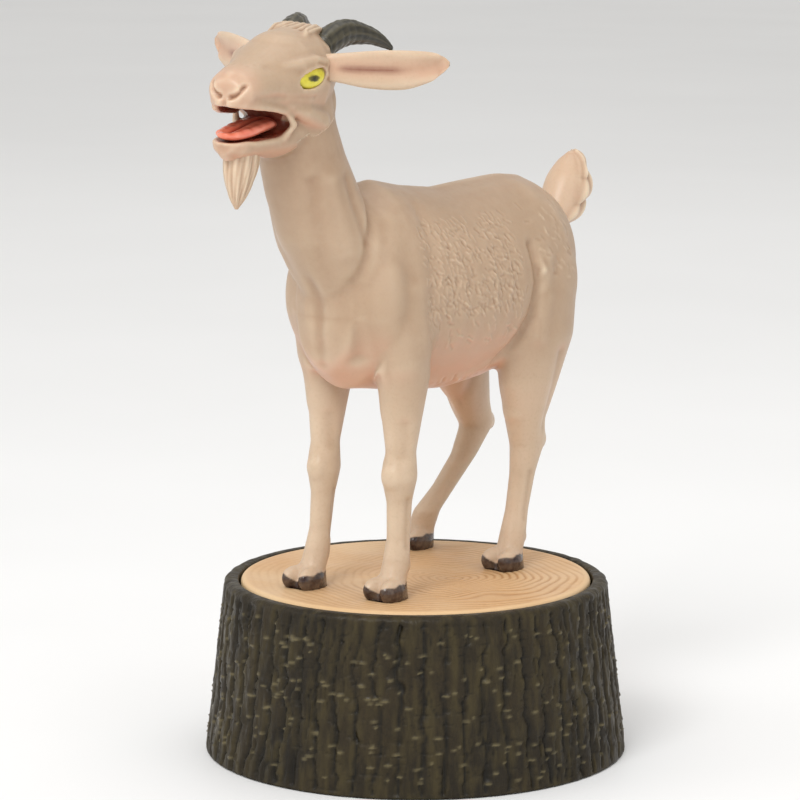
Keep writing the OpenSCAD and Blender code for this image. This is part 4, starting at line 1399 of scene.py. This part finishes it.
@dataclass
class WoodDisc:
    """The sawn top that is pressed, with rings round a heart that lies off its centre."""

    radius: float = 23.25
    edge: float = 0.7
    depth: float = 0.11
    spacing: float = 1.05
    heart: tuple[float, float] = (5.5, 1.5)
    knot: tuple[float, float] = (13.5, -3.0)

    def rings(self, points: np.ndarray) -> np.ndarray:
        """How deep each point lies in a ring's cut, from 0 to 1."""
        x, y = points[:, 0], points[:, 1]
        drift = Lattice(5)
        r = np.hypot(x - self.heart[0], y - self.heart[1])
        angle = np.arctan2(y - self.heart[1], x - self.heart[0])
        wander = 0.9 * drift.at(2.6 * angle + 9, 0.12 * r + 3) * np.minimum(r / 8, 1)
        wander += 0.7 * drift.at(x / 6 + 20, y / 6 + 20)
        near = np.hypot(x - self.knot[0], (y - self.knot[1]) / 1.25)
        pull = 3.6 * np.exp(-((near / 4.2) ** 2))
        phase = (r + wander + pull) / self.spacing
        soft = 0.6 + 0.4 * drift.at(x / 4 + 40, y / 4 + 7)
        faint = 0.2 + 0.8 * ramp(x * 0.75 + y * 0.3, -14, 4)
        return (0.5 + 0.5 * np.cos(2 * np.pi * phase)) ** 3 * soft * faint

    def core(self) -> Piece:
        """Draws the node's own skin in a little, under the relief, and keeps its posts and plunger."""
        core = core_of("press_disc", "disc_core")
        places = coordinates(core)
        upper = places[:, 2] > DISC_TOP - 2.05
        flat = np.hypot(places[:, 0], places[:, 1])
        places[upper & (places[:, 2] > DISC_TOP - 0.8), 2] -= 0.4
        rim = upper & (flat > self.radius - 1)
        places[rim, :2] *= (1 - 0.4 / flat[rim])[:, None]
        place_vertices(core, places)
        for name in ("ring", "crease_shade", "ridge_highlight"):
            store(core, name, np.zeros(len(places)))
        return core

    def build(self, finish: Paint) -> Piece:
        """Models the top with its relief over the pressed part's own posts and plunger."""
        stations = [(0, 0, DISC_TOP - 1.2, 20.5, 20.5), (0, 0, DISC_TOP - 1.2, self.radius, self.radius)]
        for k in range(6):
            a = 0.5 * math.pi * k / 5
            r = self.radius - self.edge * (1 - math.cos(a))
            stations.append((0, 0, DISC_TOP - self.edge * (1 - math.sin(a)), r, r))
        steps = 118
        top = self.radius - self.edge
        stations += [(0, 0, DISC_TOP, top * (1 - k / steps), top * (1 - k / steps)) for k in range(1, steps)]
        disc = tube(stations, Axis.Z, 320)
        points = coordinates(disc)
        face = points[:, 2] > DISC_TOP - 0.05
        inside = 1 - ramp(np.hypot(points[:, 0], points[:, 1]), top - 0.5, top)
        cuts = self.rings(points) * face * inside
        grain = Lattice(8).at(points[:, 0] * 1.5, points[:, 1] * 1.5) * 0.02
        points[:, 2] -= self.depth * cuts + (grain * face * inside)
        place_vertices(disc, points)
        store(disc, "ring", 0.95 * cuts)
        store_shade_and_highlight(disc, 4, 0.12)
        disc = join("sawn_wood_top", [disc, self.core()])
        return finish_piece(disc, finish, "press_top", "press_disc", 35)


@dataclass
class Springs:
    """Three return coils under the pressed top, kept in the node's shape."""

    foot: float = 17.0
    head: float = 21.3
    travel: float = 1.53

    def build(self, finish: Paint) -> Piece:
        """Copies the coils from their node and ties them to the stump."""
        coils = core_of("return_springs", "coil_springs")
        finish_piece(coils, finish, "stump", "return_springs", 50)
        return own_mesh(coils)


@dataclass
class Bark:
    """The stump's wall of moulded bark."""

    foot_r: float = 28.0
    rim_r: float = 25.3
    bore_r: float = 23.58
    height: float = 23.1
    ribs: int = 60
    rows: int = 104
    sides: int = 528
    furrow: float = 0.62
    specks: int = 560

    def wall(self) -> Piece:
        """Draws the closed ring of the wall, still smooth."""
        crown = 0.9
        stations = [(0, 0, z, r, r) for z, r in ((0.0, self.foot_r - 1.2), (0.0, self.foot_r - 0.5))]
        for k in range(self.rows + 1):
            z = 0.15 + (self.height - crown - 0.15) * k / self.rows
            r = self.slope(z)
            stations.append((0, 0, z, r, r))
        edge_r = self.slope(self.height - crown)
        for k in range(1, 7):
            a = 0.5 * math.pi * k / 6
            r = edge_r - 0.8 * (1 - math.cos(a))
            stations.append((0, 0, self.height - crown * (1 - math.sin(a)), r, r))
        inner = (
            (self.height, self.bore_r + 0.2), (self.height - 0.2, self.bore_r),
            (self.height - 3, self.bore_r), (self.height - 3.2, self.bore_r + 0.8), (12, self.bore_r + 1.4),
            (0.4, self.foot_r - 1.25),
        )
        stations += [(0, 0, z, r, r) for z, r in inner]
        wall = tube(stations, Axis.Z, self.sides)
        activate(wall)
        bpy.ops.object.mode_set(mode="EDIT")
        bpy.ops.mesh.select_all(action="DESELECT")
        bpy.ops.mesh.select_mode(type="FACE")
        bpy.ops.mesh.select_face_by_sides(number=4, type="GREATER")
        bpy.ops.mesh.delete(type="ONLY_FACE")
        bpy.ops.mesh.select_mode(type="VERT")
        bpy.ops.mesh.select_non_manifold()
        bpy.ops.mesh.bridge_edge_loops()
        bpy.ops.mesh.select_all(action="SELECT")
        bpy.ops.mesh.normals_make_consistent(inside=False)
        bpy.ops.object.mode_set(mode="OBJECT")
        return wall

    def relief(self, u: np.ndarray, z: np.ndarray) -> np.ndarray:
        """Depth of the bark's furrows and grain.

        Args:
            u: Place round the stump, from 0 to 1.
            z: Height in millimetres.
        Returns:
            The depth below the crests, in millimetres.
        """
        wide, fine, tall = Lattice(3, 48), Lattice(4, 48), Lattice(6, 48)
        wander = 0.3 * wide.at(u * 24, z * 0.13) + 0.16 * wide.at(u * 48 + 5, z * 0.5 + 9)
        wander += 0.07 * fine.at(u * 96, z * 1.3)
        phase = u * self.ribs + wander
        near = np.abs((phase % 1) - 0.5) * 2
        strength = 0.7 + 0.3 * tall.at(np.floor(phase) * 1.7, z * 0.14 + 4)
        furrows = np.exp(-(((1 - near) / 0.2) ** 2)) * strength
        second = np.abs(((phase * 2 + 0.5 * fine.at(u * 48, z * 0.3 + 20)) % 1) - 0.5) * 2
        minor = 0.4 * np.exp(-(((1 - second) / 0.24) ** 2)) * ramp(fine.at(u * 48, z * 0.25 + 30), -0.1, 0.5)
        grain = 0.24 * (fine.at(u * 384, z * 0.55) * 0.5 + 0.5) * (0.5 + 0.5 * tall.at(u * 48 + 11, z * 0.5))
        plates = 0.22 * (1 - ramp(np.abs(tall.at(u * 96 + 7, z * 0.8)), 0.0, 0.14)) * ramp(near, 0.0, 0.4)
        return self.furrow * np.maximum(furrows, minor) + 1.1 * grain + 0.8 * plates

    def bumps(self, u: np.ndarray, z: np.ndarray) -> np.ndarray:
        """Small lying grains that stand on the bark."""
        rng = np.random.default_rng(23)
        raised = np.zeros(len(u))
        round_r = 0.5 * (self.foot_r + self.rim_r)
        for _ in range(self.specks):
            u0, z0 = rng.random(), rng.uniform(1.5, self.height - 2)
            long, tall = rng.uniform(0.18, 0.5), rng.uniform(0.12, 0.18)
            along = ((u - u0 + 0.5) % 1 - 0.5) * 2 * math.pi * round_r
            near = (np.abs(along) < 2.5 * long) & (np.abs(z - z0) < 2.5 * tall)
            grain = np.exp(-((along[near] / long) ** 4) - ((z[near] - z0) / tall) ** 2)
            raised[near] = np.maximum(raised[near], grain)
        return raised

    def slope(self, z: float | np.ndarray) -> float | np.ndarray:
        """The wall's outer radius at a height."""
        return self.foot_r + (self.rim_r - self.foot_r) * z / self.height

    def core(self) -> Piece:
        """Draws the node's outer skin in, under the bark, and keeps its deck, sleeves and bosses."""
        core = core_of("bark_shell", "shell_core")
        places = coordinates(core)
        out = np.hypot(places[:, 0], places[:, 1])
        edge = self.slope(places[:, 2])
        skin = out > edge - 0.75
        places[skin, :2] *= (1 - (0.95 - (edge[skin] - out[skin])) / out[skin])[:, None]
        places[places[:, 2] > self.height - 0.7, 2] -= 0.5
        place_vertices(core, places)
        for name in ("crease_shade", "speck_glint"):
            store(core, name, np.zeros(len(places)))
        return core

    def build(self, finish: Paint) -> Piece:
        """Models the bark over the shell's own deck, sleeves and bosses."""
        wall = self.wall()
        points = coordinates(wall)
        flat = np.hypot(points[:, 0], points[:, 1])
        u = (np.arctan2(points[:, 1], points[:, 0]) / (2 * math.pi)) % 1
        z = points[:, 2]
        outside = flat > self.slope(z) - 0.85
        crown = 1 - ramp(z, self.height - 1.2, self.height - 0.05)
        foot = 0.3 + 0.7 * ramp(z, 0.0, 0.8)
        depth = self.relief(u, z) * outside * crown * foot
        raised = self.bumps(u, z) * outside * crown
        shift = 0.16 + 0.2 * raised - depth
        shift = np.where(outside, shift * crown * foot, 0)
        upper = ramp(z, self.height - 1.4, self.height - 0.4)
        notches = 0.14 * Lattice(9, 48).at(u * 96, z * 0) * outside * upper
        points[:, :2] *= (1 + (shift + notches) / flat)[:, None]
        place_vertices(wall, points)
        # Painted shade, near black, down the furrows.
        store(wall, "crease_shade", depth / self.furrow * 1.6 - 0.3)
        # The raised grains are real; their lighter colour is a painted glint.
        store(wall, "speck_glint", raised * outside)
        wall = join("moulded_bark_wall", [wall, self.core()])
        return finish_piece(wall, finish, "stump", "bark_shell", 60)


# ---- Scene ---------------------------------------------------------------------------------------


@dataclass
class Studio:
    """Pale floor, soft lights and the camera, in metres, watts and degrees."""

    lamps: list[tuple[str, Point, float, float]] = field(default_factory=lambda: [
        ("key_light", (0.16, -0.62, 0.62), 0.34, 3.4), ("fill_light", (0.75, -0.1, 0.34), 0.6, 0.8),
        ("left_light", (-0.55, -0.55, 0.4), 0.5, 0.8), ("top_light", (0.0, 0.15, 0.85), 0.6, 1.3)])
    aim: Point = (0.0, 0.0, 0.05)
    floor_size: float = 8.0
    floor_drop: float = 0.00002
    camera_place: Point = (0.3105, -0.3700, 0.1268)
    camera_tilt: float = 80.6
    camera_turn: float = 40.25
    lens: float = 166.7
    sensor: float = 36.0
    world_colour: tuple[float, float, float, float] = (1.0, 0.99, 0.97, 1.0)
    world_strength: float = 0.7

    def build(self) -> None:
        """Builds the floor, the lights and the camera."""
        clear_selection()
        bpy.ops.mesh.primitive_plane_add(size=self.floor_size, location=(0, 0, -self.floor_drop))
        floor = bpy.context.object
        floor.name = "studio_floor"
        pale = Finish("pale_floor", "f4f4f4", "efefef", scale=3.0, specks=0.0, roughness=0.6, bump=0.0)
        floor.data.materials.append(pale.material())
        for name, place, size, power in self.lamps:
            bpy.ops.object.light_add(type="AREA", location=place)
            lamp = bpy.context.object
            lamp.name = name
            lamp.data.size = size
            lamp.data.energy = power
            lamp.rotation_euler = (Vector(self.aim) - Vector(place)).to_track_quat("-Z", "Y").to_euler()
        turn = (math.radians(self.camera_tilt), 0, math.radians(self.camera_turn))
        bpy.ops.object.camera_add(location=self.camera_place, rotation=turn)
        camera = bpy.context.object
        camera.data.lens = self.lens
        camera.data.sensor_width = self.sensor
        bpy.context.scene.camera = camera
        world = bpy.data.worlds.new("pale_studio")
        world.use_nodes = True
        sky = world.node_tree.nodes["Background"]
        sky.inputs["Color"].default_value = self.world_colour
        sky.inputs["Strength"].default_value = self.world_strength
        bpy.context.scene.world = world
        bpy.context.scene.view_settings.view_transform = "Standard"


def dress_nodes(kept: dict[str, Paint]) -> None:
    """Lays a finish on every node that is shown as the frame has it.

    Args:
        kept: Finishes by slot.
    """
    for entry in frame["record"]["subparts"]:
        node, slot = frame["nodes"][entry["node"]], entry.get("material_slot")
        if slot in kept and not node.hide_render:
            node.data.materials.clear()
            node.data.materials.append(kept[slot])


def main() -> None:
    """Builds every piece in order."""
    logging.basicConfig(level=logging.INFO, format="%(name)s %(message)s")
    skin, eye = skin_material(), eye_material()
    GoatBody().build(skin)
    head = GoatHead()
    head.build(skin)
    for side in (1, -1):
        head.eye(side, eye)
    horn = horn_material()
    for side in (1, -1):
        Ears().build(side, skin)
        Horns().build(side, horn)
    small = SmallParts()
    small.tongue(tongue_material())
    small.beard(skin)
    small.tail(skin)
    WoodDisc().build(wood_material())
    Bark().build(bark_material())
    plain = {slot: finish.material() for slot, finish in PLAIN_FINISHES.items()}
    Springs().build(plain["spring_steel"])
    dress_nodes(plain)
    Studio().build()


if __name__ == "__main__":
    main()
